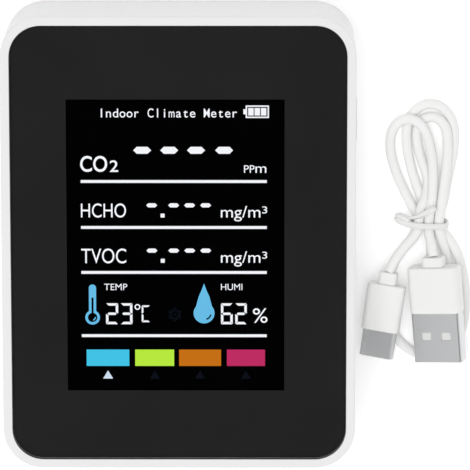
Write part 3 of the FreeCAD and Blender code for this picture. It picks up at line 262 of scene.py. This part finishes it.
def clear_lens():
    """Clear polished acrylic, which lets light straight through and mirrors some of it by angle.

    Only its upper half mirrors: its underside is bonded to the ink.
    """
    material = bpy.data.materials.new("acrylic")
    material.use_nodes = True
    tree = material.node_tree
    tree.nodes.clear()
    output = tree.nodes.new("ShaderNodeOutputMaterial")
    mix = tree.nodes.new("ShaderNodeMixShader")
    fresnel = tree.nodes.new("ShaderNodeFresnel")
    fresnel.inputs["IOR"].default_value = LENS_INDEX
    clear = tree.nodes.new("ShaderNodeBsdfTransparent")
    gloss = tree.nodes.new("ShaderNodeBsdfGlossy")
    gloss.inputs["Roughness"].default_value = LENS_ROUGHNESS
    place = tree.nodes.new("ShaderNodeTexCoord")
    waves = tree.nodes.new("ShaderNodeTexNoise")
    waves.inputs["Scale"].default_value = WAVES_SCALE
    bump = tree.nodes.new("ShaderNodeBump")
    bump.inputs["Strength"].default_value = WAVES_STRENGTH
    bump.inputs["Distance"].default_value = WAVES_DEPTH_M
    link = tree.links.new
    facing = tree.nodes.new("ShaderNodeNewGeometry").outputs["True Normal"]
    link(facing, bump.inputs["Normal"])
    link(facing, fresnel.inputs["Normal"])
    link(place.outputs["Object"], waves.inputs["Vector"])
    link(waves.outputs["Fac"], bump.inputs["Height"])
    link(bump.outputs["Normal"], gloss.inputs["Normal"])
    height = tree.nodes.new("ShaderNodeSeparateXYZ")
    above = tree.nodes.new("ShaderNodeMath")
    above.operation = "GREATER_THAN"
    above.inputs[1].default_value = lens_middle_z
    open_side = tree.nodes.new("ShaderNodeMath")
    open_side.operation = "MULTIPLY"
    link(place.outputs["Object"], height.inputs["Vector"])
    link(height.outputs["Z"], above.inputs[0])
    link(above.outputs["Value"], open_side.inputs[0])
    link(fresnel.outputs["Fac"], open_side.inputs[1])
    link(open_side.outputs["Value"], mix.inputs["Fac"])
    link(clear.outputs[0], mix.inputs[1])
    link(gloss.outputs[0], mix.inputs[2])
    link(mix.outputs[0], output.inputs["Surface"])
    return material


WHITE_CASE = finish_of("case_white", srgb(234, 234, 234), roughness=0.42, grain=0.25, tint=0.012)
WHITE_PLUG = finish_of("plug_white", srgb(239, 239, 238), roughness=0.36, grain=0.18, tint=0.012)
CABLE_WHITE = finish_of("cable_white", srgb(241, 241, 240), roughness=0.5, grain=0.3, tint=0.015)
TIE_WHITE = finish_of("tie_white", srgb(234, 234, 233), roughness=0.45, grain=0.3, tint=0.015)
INK_BLACK = finish_of("ink_black", (0.0212, 0.0212, 0.0215, 1), roughness=0.6, grain=0.05, tint=0.2,
                      specular=0.1, flat=True)
TAPE_BLACK = finish_of("tape_black", srgb(22, 22, 22), roughness=0.7)
SCREEN_BLACK = finish_of("screen_black", (0.0005, 0.0005, 0.0008, 1), roughness=0.14, grain=0.02,
                         specular=0.3, flat=True)
GLASS_DARK = finish_of("glass_dark", (0.02, 0.02, 0.025, 1), roughness=0.08, grain=0.0)
FILM_WHITE = finish_of("film_white", srgb(228, 228, 226), roughness=0.7)
BOARD_GREEN = finish_of("board_green", srgb(20, 92, 52), roughness=0.35, tint=0.12, grain=0.2)
CHIP_BLACK = finish_of("chip_black", srgb(26, 26, 28), roughness=0.6, grain=0.35)
CERAMIC_TAN = finish_of("ceramic_tan", srgb(178, 152, 116), roughness=0.5)
FLEX_AMBER = finish_of("flex_amber", srgb(176, 104, 26), roughness=0.3, tint=0.06)
GOLD = brushed("gold_plated", srgb(226, 178, 84), roughness=0.25)
STEEL = brushed("nickel_steel", srgb(214, 215, 216), roughness=0.3)
STEEL_SATIN = brushed("nickel_satin", srgb(226, 227, 228), roughness=0.52)
CAN_METAL = brushed("can_metal", srgb(180, 180, 182), roughness=0.35)
FOIL = brushed("pouch_foil", srgb(190, 191, 195), roughness=0.38, stretch=(4.0, 4.0, 1.0))
LEAD_RED = finish_of("lead_red", srgb(182, 26, 24), roughness=0.45)
LEAD_BLACK = finish_of("lead_black", srgb(22, 22, 22), roughness=0.45)
FILTER_GREY = finish_of("filter_grey", srgb(62, 63, 65), roughness=0.95, grain=0.9, grain_scale=500.0,
                        tint=0.2)
SENSOR_WHITE = finish_of("sensor_white", srgb(222, 221, 214), roughness=0.5)
LED_PHOSPHOR = finish_of("led_phosphor", srgb(238, 226, 150), roughness=0.5)
SOCKET_BLACK = finish_of("socket_black", srgb(24, 24, 25), roughness=0.5)

NODE_FINISH = {
    WHITE_CASE: ("front_case", "rear_cover", "power_button"),
    INK_BLACK: ("lens_mask",),
    TAPE_BLACK: ("lens_adhesive", "lcd_gasket", "battery_tape"),
    SCREEN_BLACK: ("lcd_front_polariser", "lcd_rear_polariser"),
    GLASS_DARK: ("lcd_upper_glass", "lcd_lower_glass"),
    FILM_WHITE: ("backlight_diffuser", "backlight_reflector", "light_guide", "lcd_holder", "flex_connector",
                 "battery_plug", "battery_header", "usb_a_insert"),
    LED_PHOSPHOR: ("backlight_leds",),
    FLEX_AMBER: ("lcd_flex",),
    BOARD_GREEN: ("main_board", "co2_sensor_board", "battery_protection_board"),
    CHIP_BLACK: ("microcontroller", "charger_chip", "power_inductor", "tact_switch", "buzzer"),
    CERAMIC_TAN: ("board_passives",),
    CAN_METAL: ("crystal", "voc_sensor"),
    GOLD: ("co2_sensor_chamber", "co2_sensor_pins", "usb_a_contacts"),
    SENSOR_WHITE: ("formaldehyde_sensor", "humidity_sensor"),
    FOIL: ("battery_pouch",),
    LEAD_RED: ("battery_lead_red",),
    LEAD_BLACK: ("battery_lead_black",),
    FILTER_GREY: ("dust_filter",),
    SOCKET_BLACK: ("usb_socket_tongue", "switch_plunger", "usb_c_insert"),
    STEEL: ("usb_socket_shell", "usb_a_shell", "housing_screws", "board_screws"),
    STEEL_SATIN: ("usb_c_shell",),
    WHITE_PLUG: ("usb_a_overmould", "usb_a_relief", "usb_c_overmould", "usb_c_relief"),
}


def give_finish(node, material):
    node.data.materials.clear()
    node.data.materials.append(material)


def dress_nodes():
    for material, names in NODE_FINISH.items():
        for name in names:
            give_finish(nodes[name], material)
    give_finish(nodes["front_lens"], clear_lens())


# ================================================================ charging cable
# Route of the cord from the larger plug to the smaller one: across, along and above the surface,
# from the middle of the tied waist. Its two ends are the same points as the leads of the CAD model.
CORD_DIAMETER = 2.4
CORD_ROUND_STEPS = 6
CORD_ROUTE_STEPS = 8
LOW = 1.2
TOP = 3.6
TIE_LOW = 2.0
TIE_TOP = 4.4
ROUTE = [
    # lead of the larger plug, into the tie
    (1.05, -7.6, 6.9), (0.6, -4.9, 5.95), (0.0, -2.2, TIE_TOP), (0.0, 1.5, TIE_TOP),
    # front upper loop
    (0.6, 4.6, 4.3), (1.0, 9.2, 3.9), (1.0, 13.8, TOP), (0.4, 18.6, TOP), (-0.9, 23.0, TOP),
    (-3.4, 25.6, TOP), (-6.7, 25.6, TOP), (-9.1, 23.1, TOP), (-9.6, 18.4, 3.4), (-8.3, 13.2, 2.5),
    (-6.3, 8.4, 1.6), (-4.2, 4.2, 1.4), (-2.45, 1.5, TIE_LOW), (-2.45, -1.5, TIE_LOW),
    # outer lower loop
    (-4.4, -4.6, 1.4), (-7.6, -8.6, LOW), (-9.6, -13.6, LOW), (-10.4, -19.0, LOW), (-9.6, -24.6, LOW),
    (-6.9, -30.2, LOW), (-2.0, -33.4, LOW), (3.2, -33.8, LOW), (7.2, -30.6, LOW), (9.0, -24.8, LOW),
    (9.3, -18.4, LOW), (8.6, -12.6, LOW), (7.0, -7.4, LOW), (4.8, -3.9, 1.4), (2.45, -1.5, TIE_LOW),
    (2.45, 1.5, TIE_LOW),
    # rear upper loop
    (3.8, 5.4, 1.4), (4.6, 10.4, LOW), (5.7, 15.6, LOW), (6.3, 20.8, LOW), (5.6, 25.5, LOW),
    (2.7, 28.7, LOW), (-1.0, 29.1, LOW), (-4.2, 26.9, LOW), (-5.6, 22.6, LOW), (-5.3, 17.6, LOW),
    (-4.1, 12.4, LOW), (-2.4, 7.4, LOW), (-0.8, 3.8, 1.5), (0.0, 1.5, TIE_LOW), (0.0, -1.5, TIE_LOW),
    # inner lower loop
    (0.7, -4.8, 1.3), (0.7, -9.6, LOW), (-0.5, -15.4, LOW), (-1.4, -21.2, LOW), (-1.3, -26.6, LOW),
    (0.8, -29.2, LOW), (3.9, -29.3, LOW), (6.1, -26.9, LOW), (6.4, -21.2, LOW), (5.8, -14.4, LOW),
    (4.6, -8.6, 1.4), (3.5, -5.0, 2.8), (2.45, -1.5, TIE_TOP), (2.45, 1.5, TIE_TOP),
    # inner upper loop
    (3.1, 4.9, 4.2), (3.7, 9.4, 3.8), (4.2, 13.8, TOP), (4.5, 18.8, TOP), (4.2, 23.4, 3.2),
    (2.1, 25.8, 2.4), (-0.9, 25.9, 1.6), (-3.0, 23.4, LOW), (-2.8, 18.8, LOW), (-1.4, 14.2, LOW),
    (0.0, 10.4, 1.3), (-0.4, 7.4, 2.2), (-1.6, 4.6, 3.8), (-2.45, 1.5, TIE_TOP), (-2.45, -2.2, TIE_TOP),
    # lead of the smaller plug
    (-7.6, -7.4, 5.3), (-9.6, -11.6, 5.6),
]


def in_hank(u, v, z):
    """Place in the frame, from millimetres across, along and above the waist of the hank."""
    return Vector((waist_x + u, waist_y + v, z)) * MM


def add_cord():
    """The whole cord from plug to plug, on one smooth line through the tied waist."""
    curve = bpy.data.curves.new("charging_cord", "CURVE")
    curve.dimensions = "3D"
    curve.bevel_depth = CORD_DIAMETER / 2 * MM
    curve.bevel_resolution = CORD_ROUND_STEPS
    curve.resolution_u = CORD_ROUTE_STEPS
    curve.use_fill_caps = True
    spline = curve.splines.new("NURBS")
    spline.points.add(len(ROUTE) - 1)
    for point, place in zip(spline.points, ROUTE):
        point.co = (*in_hank(*place), 1.0)
    spline.order_u = 3
    spline.use_endpoint_u = True
    curve.materials.append(CABLE_WHITE)
    cord = bpy.data.objects.new("charging_cord", curve)
    bpy.context.collection.objects.link(cord)
    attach(cord, "charging_cable")
    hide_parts("cable_hank", "cable_lead_a", "cable_lead_c")


# ================================================================ ink of the lens
# The window is the viewing area of the CAD model's mask.
INK_CORNER = 7.4
INK_CORNER_STEPS = 12
INK_LIFT = 0.02
INK_SINK = 0.01
WINDOW_X = (-26.6, 25.1)
WINDOW_Y = (-35.8, 34.6)
QUARTERS = ((1, 1, 0), (-1, 1, 90), (-1, -1, 180), (1, -1, 270))


def ink_outline():
    """Rounded outline of the ink in millimetres, counter-clockwise."""
    middle_x = mask_high.x / MM - INK_CORNER
    middle_y = mask_high.y / MM - INK_CORNER
    points = []
    for across, up, first_deg in QUARTERS:
        for i in range(INK_CORNER_STEPS + 1):
            turn = math.radians(first_deg + 90 * i / INK_CORNER_STEPS)
            points.append((across * middle_x + INK_CORNER * math.cos(turn),
                           up * middle_y + INK_CORNER * math.sin(turn)))
    return points


def add_ink():
    """Black ink on the back of the lens, open over the display. Its face is one flat plane."""
    (left, right), (low, high) = WINDOW_X, WINDOW_Y
    window = [(left, low), (left, high), (right, high), (right, low)]
    face_z = mask_high.z + INK_LIFT * MM
    shape = bmesh.new()
    edges = []
    for loop in (ink_outline(), window):
        verts = [shape.verts.new((x * MM, y * MM, face_z)) for x, y in loop]
        edges += [shape.edges.new(pair) for pair in zip(verts, verts[1:] + verts[:1])]
    bmesh.ops.triangle_fill(shape, edges=edges, use_beauty=True)
    deepened = bmesh.ops.extrude_face_region(shape, geom=list(shape.faces), use_keep_orig=True)
    lower = [g for g in deepened["geom"] if isinstance(g, bmesh.types.BMVert)]
    bmesh.ops.translate(shape, verts=lower, vec=(0, 0, -(INK_LIFT + INK_SINK) * MM))
    bmesh.ops.recalc_face_normals(shape, faces=list(shape.faces))
    mesh = bpy.data.meshes.new("ink_print")
    shape.to_mesh(mesh)
    shape.free()
    mesh.materials.append(INK_BLACK)
    ink = bpy.data.objects.new("ink_print", mesh)
    bpy.context.collection.objects.link(ink)
    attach(ink, "housing")


# ================================================================ display artwork
# Places on the display are millimetres across and up from the middle of the case.
ART_LIFT = 0.04
ART_THICK = 0.03
MARK_LIFT = 0.1
GLINT_LIFT = 0.2
FONT_CAPITAL = 0.7
CELL_FILL = 0.84
UNLIT = (0.0, 0.0, 0.0, 1.0)
LABEL = srgb(246, 248, 253)
POINTER = srgb(208, 224, 240)
CYAN = srgb(66, 197, 231)
GREEN = srgb(184, 235, 64)
ORANGE = srgb(198, 112, 21)
PINK = srgb(191, 44, 98)
SKY_BLUE = srgb(104, 190, 232)
GHOST = srgb(9, 13, 22)


class Artwork:
    """Flat lit shapes of one colour, gathered into one piece on the display."""

    def __init__(self, name, colour, lift=ART_LIFT):
        self.name = name
        self.colour = colour
        self.z = glass_top_z + lift * MM
        self.shape = bmesh.new()

    def outline(self, points):
        """Filled polygon, from its corners."""
        low = [self.shape.verts.new((x * MM, y * MM, self.z)) for x, y in points]
        face = self.shape.faces.new(low)
        if face.normal.z < 0:
            face.normal_flip()
        lifted = bmesh.ops.extrude_face_region(self.shape, geom=[face])
        verts = [g for g in lifted["geom"] if isinstance(g, bmesh.types.BMVert)]
        bmesh.ops.translate(self.shape, verts=verts, vec=(0, 0, ART_THICK * MM))

    def bar(self, x_low, x_high, y_low, y_high):
        self.outline([(x_low, y_low), (x_high, y_low), (x_high, y_high), (x_low, y_high)])

    def dash(self, x, y, half_length, half_height):
        """Bar with a pointed end at each side, about its middle."""
        shoulder = half_length - half_height
        low, high = y - half_height, y + half_height
        self.outline([(x - half_length, y), (x - shoulder, low), (x + shoulder, low),
                      (x + half_length, y), (x + shoulder, high), (x - shoulder, high)])

    def arc(self, middle, radii, turn_deg=(0, 360), steps=24):
        """Curved band about a middle, or a whole ring."""
        x, y = middle
        outer, inner = radii
        first, last = turn_deg
        around = [math.radians(first + (last - first) * i / steps) for i in range(steps + 1)]
        for a, b in zip(around, around[1:]):
            self.outline([(x + r * math.cos(t), y + r * math.sin(t))
                          for r, t in ((inner, a), (outer, a), (outer, b), (inner, b))])

    def disc(self, middle, radius, steps=32):
        x, y = middle
        around = [math.tau * i / steps for i in range(steps)]
        self.outline([(x + radius * math.cos(t), y + radius * math.sin(t)) for t in around])

    def words_mesh(self, words, embolden):
        """Flat mesh of words, one unit high for each line."""
        curve = bpy.data.curves.new("words", "FONT")
        curve.body = words
        curve.size = 1.0
        curve.offset = embolden
        curve.fill_mode = "FRONT"
        holder = bpy.data.objects.new("words", curve)
        bpy.context.collection.objects.link(holder)
        bpy.context.view_layer.update()
        mesh = bpy.data.meshes.new_from_object(holder.evaluated_get(bpy.context.evaluated_depsgraph_get()))
        bpy.data.objects.remove(holder)
        return mesh

    def lay_words(self, mesh, across, up, x, y):
        """Adds flat words, scaled and moved into place."""
        z = self.z + ART_THICK * MM
        for v in mesh.vertices:
            v.co = ((x + v.co.x * across) * MM, (y + v.co.y * up) * MM, z)
        self.shape.from_mesh(mesh)
        bpy.data.meshes.remove(mesh)

    def text(self, words, x_span, y_span, embolden=0.0):
        """Words fitted between their left and right ends and their lower and upper limits."""
        mesh = self.words_mesh(words, embolden)
        xs = [v.co.x for v in mesh.vertices]
        ys = [v.co.y for v in mesh.vertices]
        across = (x_span[1] - x_span[0]) / (max(xs) - min(xs))
        up = (y_span[1] - y_span[0]) / (max(ys) - min(ys))
        self.lay_words(mesh, across, up, x_span[0] - min(xs) * across, y_span[0] - min(ys) * up)

    def spaced_text(self, words, x_span, base_y, capital_height, embolden=0.0):
        """Words in cells of one width, as a character display shows them."""
        cell = (x_span[1] - x_span[0]) / len(words)
        up = capital_height / FONT_CAPITAL
        for i, letter in enumerate(words):
            if letter == " ":
                continue
            mesh = self.words_mesh(letter, embolden)
            xs = [v.co.x for v in mesh.vertices]
            width = max(xs) - min(xs)
            across = min(up, cell * CELL_FILL / width)
            middle = x_span[0] + (i + 0.5) * cell
            self.lay_words(mesh, across, up, middle - (min(xs) + width / 2) * across, base_y)

    def finish(self):
        mesh = bpy.data.meshes.new(self.name)
        self.shape.to_mesh(mesh)
        self.shape.free()
        lit = finish_of(self.name, UNLIT, roughness=0.6, grain=0.0, glow=self.colour, specular=0.05)
        mesh.materials.append(lit)
        piece = bpy.data.objects.new(self.name, mesh)
        bpy.context.collection.objects.link(piece)
        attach(piece, "housing")


# Bars of a seven-segment digit: a is the upper one, then b to f clockwise, and g is the middle one.
SEGMENTS_OF = {"2": "abged", "3": "abgcd", "6": "acdefg", "C": "adef"}
SEGMENT_THICK = 0.58
SMALL_SEGMENT_THICK = 0.42
SEGMENT_GAP = 0.08


def seven_segment(art, sign, x_span, y_span, thick=SEGMENT_THICK, gap=SEGMENT_GAP):
    """One digit from up to seven bars with mitred ends."""
    (left, right), (low, high) = x_span, y_span
    middle = (low + high) / 2
    half = thick / 2
    in_left, in_right = left + thick, right - thick
    bars = {
        "a": [(left + gap, high), (in_left + gap, high - thick), (in_right - gap, high - thick),
              (right - gap, high)],
        "d": [(left + gap, low), (right - gap, low), (in_right - gap, low + thick),
              (in_left + gap, low + thick)],
        "g": [(left + half + gap, middle), (in_left + gap, middle - half), (in_right - gap, middle - half),
              (right - half - gap, middle), (in_right - gap, middle + half),
              (in_left + gap, middle + half)],
        "f": [(left, high - gap), (left, middle + gap), (in_left, middle + half + gap),
              (in_left, high - thick - gap)],
        "b": [(right, high - gap), (in_right, high - thick - gap), (in_right, middle + half + gap),
              (right, middle + gap)],
        "e": [(left, low + gap), (in_left, low + thick + gap), (in_left, middle - half - gap),
              (left, middle - gap)],
        "c": [(right, low + gap), (right, middle - gap), (in_right, middle - half - gap),
              (in_right, low + thick + gap)],
    }
    for segment in SEGMENTS_OF[sign]:
        art.outline(bars[segment])


RULE_X = (-23.2, 20.9)
RULE_THICK = 0.68
RULES = (14.8, 3.7, -7.2, -22.6)

TITLE = "Indoor Climate Meter"
TITLE_X = (-19.0, 14.15)
TITLE_BASE_Y = 30.2
TITLE_CAPITAL = 2.15
TITLE_BOLD = 0.004

# Main reading: four long dashes.
MAIN_DASHES = (-8.6, -2.2, 4.15, 10.8)
MAIN_DASH_Y = 22.3
MAIN_DASH_HALF = (2.12, 0.84)

# Each gas row: its name, the name's lower and upper limits, and the middle of its dashes.
# The places below the middle are a lower and an upper limit too.
GAS_ROWS = (("HCHO", (6.1, 9.5), 9.05), ("TVOC", (-5.0, -1.4), -1.9))
GAS_NAME_X = (-23.2, -12.5)
GAS_DASHES = (-6.4, -1.2, 2.6, 6.4)
GAS_DASH_HALF = (1.3, 0.5)
POINT_X = (-4.3, -3.35)
POINT_BELOW = (2.95, 2.0)
UNIT_X = (10.0, 19.4)
UNIT_BELOW = (3.85, 0.15)
CUBED_X = (19.8, 21.0)
CUBED_BELOW = (1.95, 0.25)

# Other words: across, up, and how much bolder than the font.
WORDS = (("CO", (-23.3, -16.9), (17.1, 20.95), 0.012), ("2", (-16.3, -14.3), (17.1, 19.9), 0.008),
         ("PP", (15.5, 18.0), (16.9, 18.7), 0.0), ("m", (18.2, 20.8), (16.9, 18.45), 0.0),
         ("TEMP", (-17.8, -12.3), (-11.5, -9.95), 0.0), ("HUMI", (10.0, 15.1), (-11.5, -9.95), 0.0),
         ("%", (17.6, 21.1), (-19.45, -15.9), 0.0))

DIGIT_Y = (-19.8, -14.7)
DIGITS = (("2", (-17.4, -14.5)), ("3", (-13.9, -11.1)), ("6", (10.0, 12.8)), ("2", (13.4, 16.15)))
CELSIUS_X = (-8.9, -6.9)
CELSIUS_Y = (-19.3, -15.2)
DEGREE_AT = (-9.9, -15.6)
DEGREE_RADII = (0.7, 0.42)


def add_labels():
    art = Artwork("display_labels", LABEL)
    for y in RULES:
        art.bar(*RULE_X, y - RULE_THICK / 2, y + RULE_THICK / 2)
    art.spaced_text(TITLE, TITLE_X, TITLE_BASE_Y, TITLE_CAPITAL, embolden=TITLE_BOLD)
    for x in MAIN_DASHES:
        art.dash(x, MAIN_DASH_Y, *MAIN_DASH_HALF)
    for name, name_y, middle in GAS_ROWS:
        art.text(name, GAS_NAME_X, name_y)
        for x in GAS_DASHES:
            art.dash(x, middle, *GAS_DASH_HALF)
        art.bar(*POINT_X, *(middle - below for below in POINT_BELOW))
        art.text("mg/m", UNIT_X, [middle - below for below in UNIT_BELOW])
        art.text("3", CUBED_X, [middle - below for below in CUBED_BELOW])
    for words, x_span, y_span, bolder in WORDS:
        art.text(words, x_span, y_span, embolden=bolder)
    for sign, x_span in DIGITS:
        seven_segment(art, sign, x_span, DIGIT_Y)
    art.arc(DEGREE_AT, DEGREE_RADII)
    seven_segment(art, "C", CELSIUS_X, CELSIUS_Y, thick=SMALL_SEGMENT_THICK)
    add_battery_icon(art)
    art.finish()


BATTERY_X = (15.9, 21.4)
BATTERY_Y = (30.05, 33.05)
BATTERY_LINE = 0.34
TERMINAL_LENGTH = 0.55
TERMINAL_Y = (30.95, 32.15)
CHARGE_BARS = 3
CHARGE_PITCH = 1.5
CHARGE_WIDTH = 1.28
CHARGE_INSET = 0.6


def add_battery_icon(art):
    """Outline with three charge bars and its terminal at the left."""
    (left, right), (low, high) = BATTERY_X, BATTERY_Y
    art.bar(left, right, high - BATTERY_LINE, high)
    art.bar(left, right, low, low + BATTERY_LINE)
    art.bar(left, left + BATTERY_LINE, low, high)
    art.bar(right - BATTERY_LINE, right, low, high)
    art.bar(left - TERMINAL_LENGTH, left, *TERMINAL_Y)
    for i in range(CHARGE_BARS):
        start = left + CHARGE_INSET + i * CHARGE_PITCH
        art.bar(start, start + CHARGE_WIDTH, low + CHARGE_INSET, high - CHARGE_INSET)


DROP_X = 5.97
DROP_Y = (-19.6, -9.9)
DROP_RADIUS = 2.5
DROP_ROUND_DEG = (-220, 40)
DROP_STEPS = 24
# Each shoulder point: half the drop's width there, and how far it is below the drop's point.
DROP_SHOULDER = ((1.28, 3.2), (0.62, 1.7), (0.22, 0.6))
DROP_GLINT_AT = (DROP_X, -17.0)
DROP_GLINT_RADII = (1.85, 1.5)
DROP_GLINT_DEG = (-70, -15)

BULB_AT = (-20.6, -18.15)
BULB_RADIUS = 1.75
TUBE_HALF = 0.86
TUBE_TOP_Y = -11.0
COLUMN_BULB_RADIUS = 1.12
COLUMN_HALF = 0.24
COLUMN_TOP_Y = -13.3
BULB_GLINT_RADII = (0.75, 0.5)
BULB_GLINT_DEG = (-80, 10)


def drop_outline():
    """Water drop: round below, drawn to a point above."""
    low, high = DROP_Y
    first, last = DROP_ROUND_DEG
    middle = low + DROP_RADIUS
    points = []
    for i in range(DROP_STEPS + 1):
        t = math.radians(first + (last - first) * i / DROP_STEPS)
        points.append((DROP_X + DROP_RADIUS * math.cos(t), middle + DROP_RADIUS * math.sin(t)))
    points += [(DROP_X + half, high - down) for half, down in DROP_SHOULDER]
    points.append((DROP_X, high))
    points += [(DROP_X - half, high - down) for half, down in reversed(DROP_SHOULDER)]
    return points


def add_icons():
    """Thermometer and water drop, with their dark inner marks and a glint."""
    x, bulb_y = BULB_AT
    art = Artwork("display_icons", SKY_BLUE)
    art.outline(drop_outline())
    art.disc(BULB_AT, BULB_RADIUS)
    art.bar(x - TUBE_HALF, x + TUBE_HALF, bulb_y, TUBE_TOP_Y)
    art.disc((x, TUBE_TOP_Y), TUBE_HALF)
    art.finish()
    marks = Artwork("display_icon_marks", UNLIT, lift=MARK_LIFT)
    marks.disc(BULB_AT, COLUMN_BULB_RADIUS)
    marks.bar(x - COLUMN_HALF, x + COLUMN_HALF, bulb_y, COLUMN_TOP_Y)
    marks.arc(DROP_GLINT_AT, DROP_GLINT_RADII, DROP_GLINT_DEG, steps=12)
    marks.finish()
    glint = Artwork("display_icon_glint", SKY_BLUE, lift=GLINT_LIFT)
    glint.arc(BULB_AT, BULB_GLINT_RADII, BULB_GLINT_DEG, steps=10)
    glint.finish()


LEVEL_Y = (-30.0, -26.0)
LEVELS = (("cyan", CYAN, (-22.1, -11.9)), ("green", GREEN, (-10.5, -1.2)),
          ("orange", ORANGE, (0.0, 10.0)), ("pink", PINK, (11.4, 20.5)))
POINTER_HALF = 1.2
POINTER_Y = (-33.1, -31.1)
FLOWER_AT = (-1.0, -17.4)
FLOWER_RADIUS = 1.15
FLOWER_HEART = 0.3
PETALS = 6
PETAL_RADII = (0.55, 0.2)
PETAL_STEPS = 8


def add_levels():
    for name, colour, x_span in LEVELS:
        art = Artwork("display_level_" + name, colour)
        art.bar(*x_span, *LEVEL_Y)
        art.finish()


def add_pointers():
    """Marks under the level blocks: the first is lit, the others are off and faintly seen.

    A small flower between the two lower readings is off too.
    """
    lit = Artwork("display_pointer", POINTER)
    off = Artwork("display_ghosts", GHOST)
    base_y, tip_y = POINTER_Y
    for i, (_, _, x_span) in enumerate(LEVELS):
        x = sum(x_span) / 2
        art = off if i else lit
        art.outline([(x - POINTER_HALF, base_y), (x + POINTER_HALF, base_y), (x, tip_y)])
    for i in range(PETALS):
        t = math.tau * (i + 0.5) / PETALS
        petal_at = (FLOWER_AT[0] + FLOWER_RADIUS * math.cos(t), FLOWER_AT[1] + FLOWER_RADIUS * math.sin(t))
        off.arc(petal_at, PETAL_RADII, steps=PETAL_STEPS)
    off.disc(FLOWER_AT, FLOWER_HEART, steps=PETAL_STEPS)
    lit.finish()
    off.finish()


# ================================================================ wire tie
TIE_WIDTH = 1.5
TIE_WING = 0.3
TIE_CORE = 0.66
# Shares of the half width and of the core's radius, at the points where the section turns.
TIE_EDGE = 0.9
TIE_SHOULDER = (0.6, 0.8)
TIE_STEPS = 6
TIE_TWIST_DEG = 200
TIE_TWISTED_SHARE = 0.3
TIE_ROUTE = [
    # free end, then the twisted eye at the side
    (1.5, 4.5, 6.9), (-0.2, 3.3, 6.6), (-2.2, 2.2, 6.3), (-4.6, 1.6, 5.9), (-6.7, 2.4, 5.3),
    (-8.0, 2.0, 4.9), (-7.5, 0.9, 5.0), (-5.6, 0.2, 5.5),
    # once round the waist
    (-3.2, -0.2, 6.1), (0.0, -0.4, 6.15), (3.0, -0.4, 6.1), (4.4, -0.3, 5.3), (4.65, -0.1, 3.2),
    (4.3, 0.0, 1.0), (3.0, 0.1, 0.5), (0.0, 0.1, 0.45), (-3.0, 0.1, 0.5), (-4.3, 0.2, 1.0),
    (-4.65, 0.3, 3.2), (-4.5, 0.7, 5.2),
]


def smooth_line(points):
    """Points along the smooth curve that a list of control points gives."""
    curve = bpy.data.curves.new("line", "CURVE")
    curve.dimensions = "3D"
    curve.resolution_u = TIE_STEPS
    spline = curve.splines.new("NURBS")
    spline.points.add(len(points) - 1)
    for point, place in zip(spline.points, points):
        point.co = (*place, 1.0)
    spline.order_u = 3
    spline.use_endpoint_u = True
    holder = bpy.data.objects.new("line", curve)
    bpy.context.collection.objects.link(holder)
    bpy.context.view_layer.update()
    mesh = bpy.data.meshes.new_from_object(holder.evaluated_get(bpy.context.evaluated_depsgraph_get()))
    line = [v.co.copy() for v in mesh.vertices]
    bpy.data.objects.remove(holder)
    bpy.data.meshes.remove(mesh)
    return line


def tie_section():
    """Flat wings either side of a round wire core."""
    half, wing, core = TIE_WIDTH / 2, TIE_WING / 2, TIE_CORE / 2
    edge = half * TIE_EDGE
    shoulder_x, shoulder_z = (core * share for share in TIE_SHOULDER)
    upper = [(-half, 0.0), (-edge, wing), (-core, wing), (-shoulder_x, shoulder_z), (0.0, core),
             (shoulder_x, shoulder_z), (core, wing), (edge, wing)]
    return upper + [(-w, -h) for w, h in upper]


def add_tie():
    """Coated wire tie: once round the waist, with a twisted eye and a free end."""
    line = smooth_line([in_hank(*p) for p in TIE_ROUTE])
    shape = bmesh.new()
    rings = []
    for i, point in enumerate(line):
        ahead = line[min(i + 1, len(line) - 1)]
        behind = line[max(i - 1, 0)]
        along = (ahead - behind).normalized()
        wide = (Vector((0, 1, 0)) - along * along.y).normalized()
        part_way = i / len(line)
        untwisted = min(1.0, part_way / TIE_TWISTED_SHARE)
        twist = math.radians(TIE_TWIST_DEG) * (1.0 - untwisted)
        wide = Matrix.Rotation(twist, 3, along) @ wide
        up = along.cross(wide)
        rings.append([shape.verts.new(point + (wide * w + up * h) * MM) for w, h in tie_section()])
    count = len(tie_section())
    for a, b in zip(rings, rings[1:]):
        for j in range(count):
            after = (j + 1) % count
            shape.faces.new((a[j], a[after], b[after], b[j]))
    shape.faces.new(rings[0])
    shape.faces.new(reversed(rings[-1]))
    bmesh.ops.recalc_face_normals(shape, faces=shape.faces)
    for face in shape.faces:
        face.smooth = True
    mesh = bpy.data.meshes.new("wire_tie")
    shape.to_mesh(mesh)
    shape.free()
    mesh.materials.append(TIE_WHITE)
    tie = bpy.data.objects.new("wire_tie", mesh)
    bpy.context.collection.objects.link(tie)
    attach(tie, "charging_cable")
    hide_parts("cable_tie")


# ================================================================ the scene
add_camera()
add_world()
add_floor()
add_key_light()
dress_nodes()
add_cord()
add_tie()
add_ink()
add_labels()
add_icons()
add_levels()
add_pointers()

bpy.context.scene.view_settings.view_transform = "Standard"
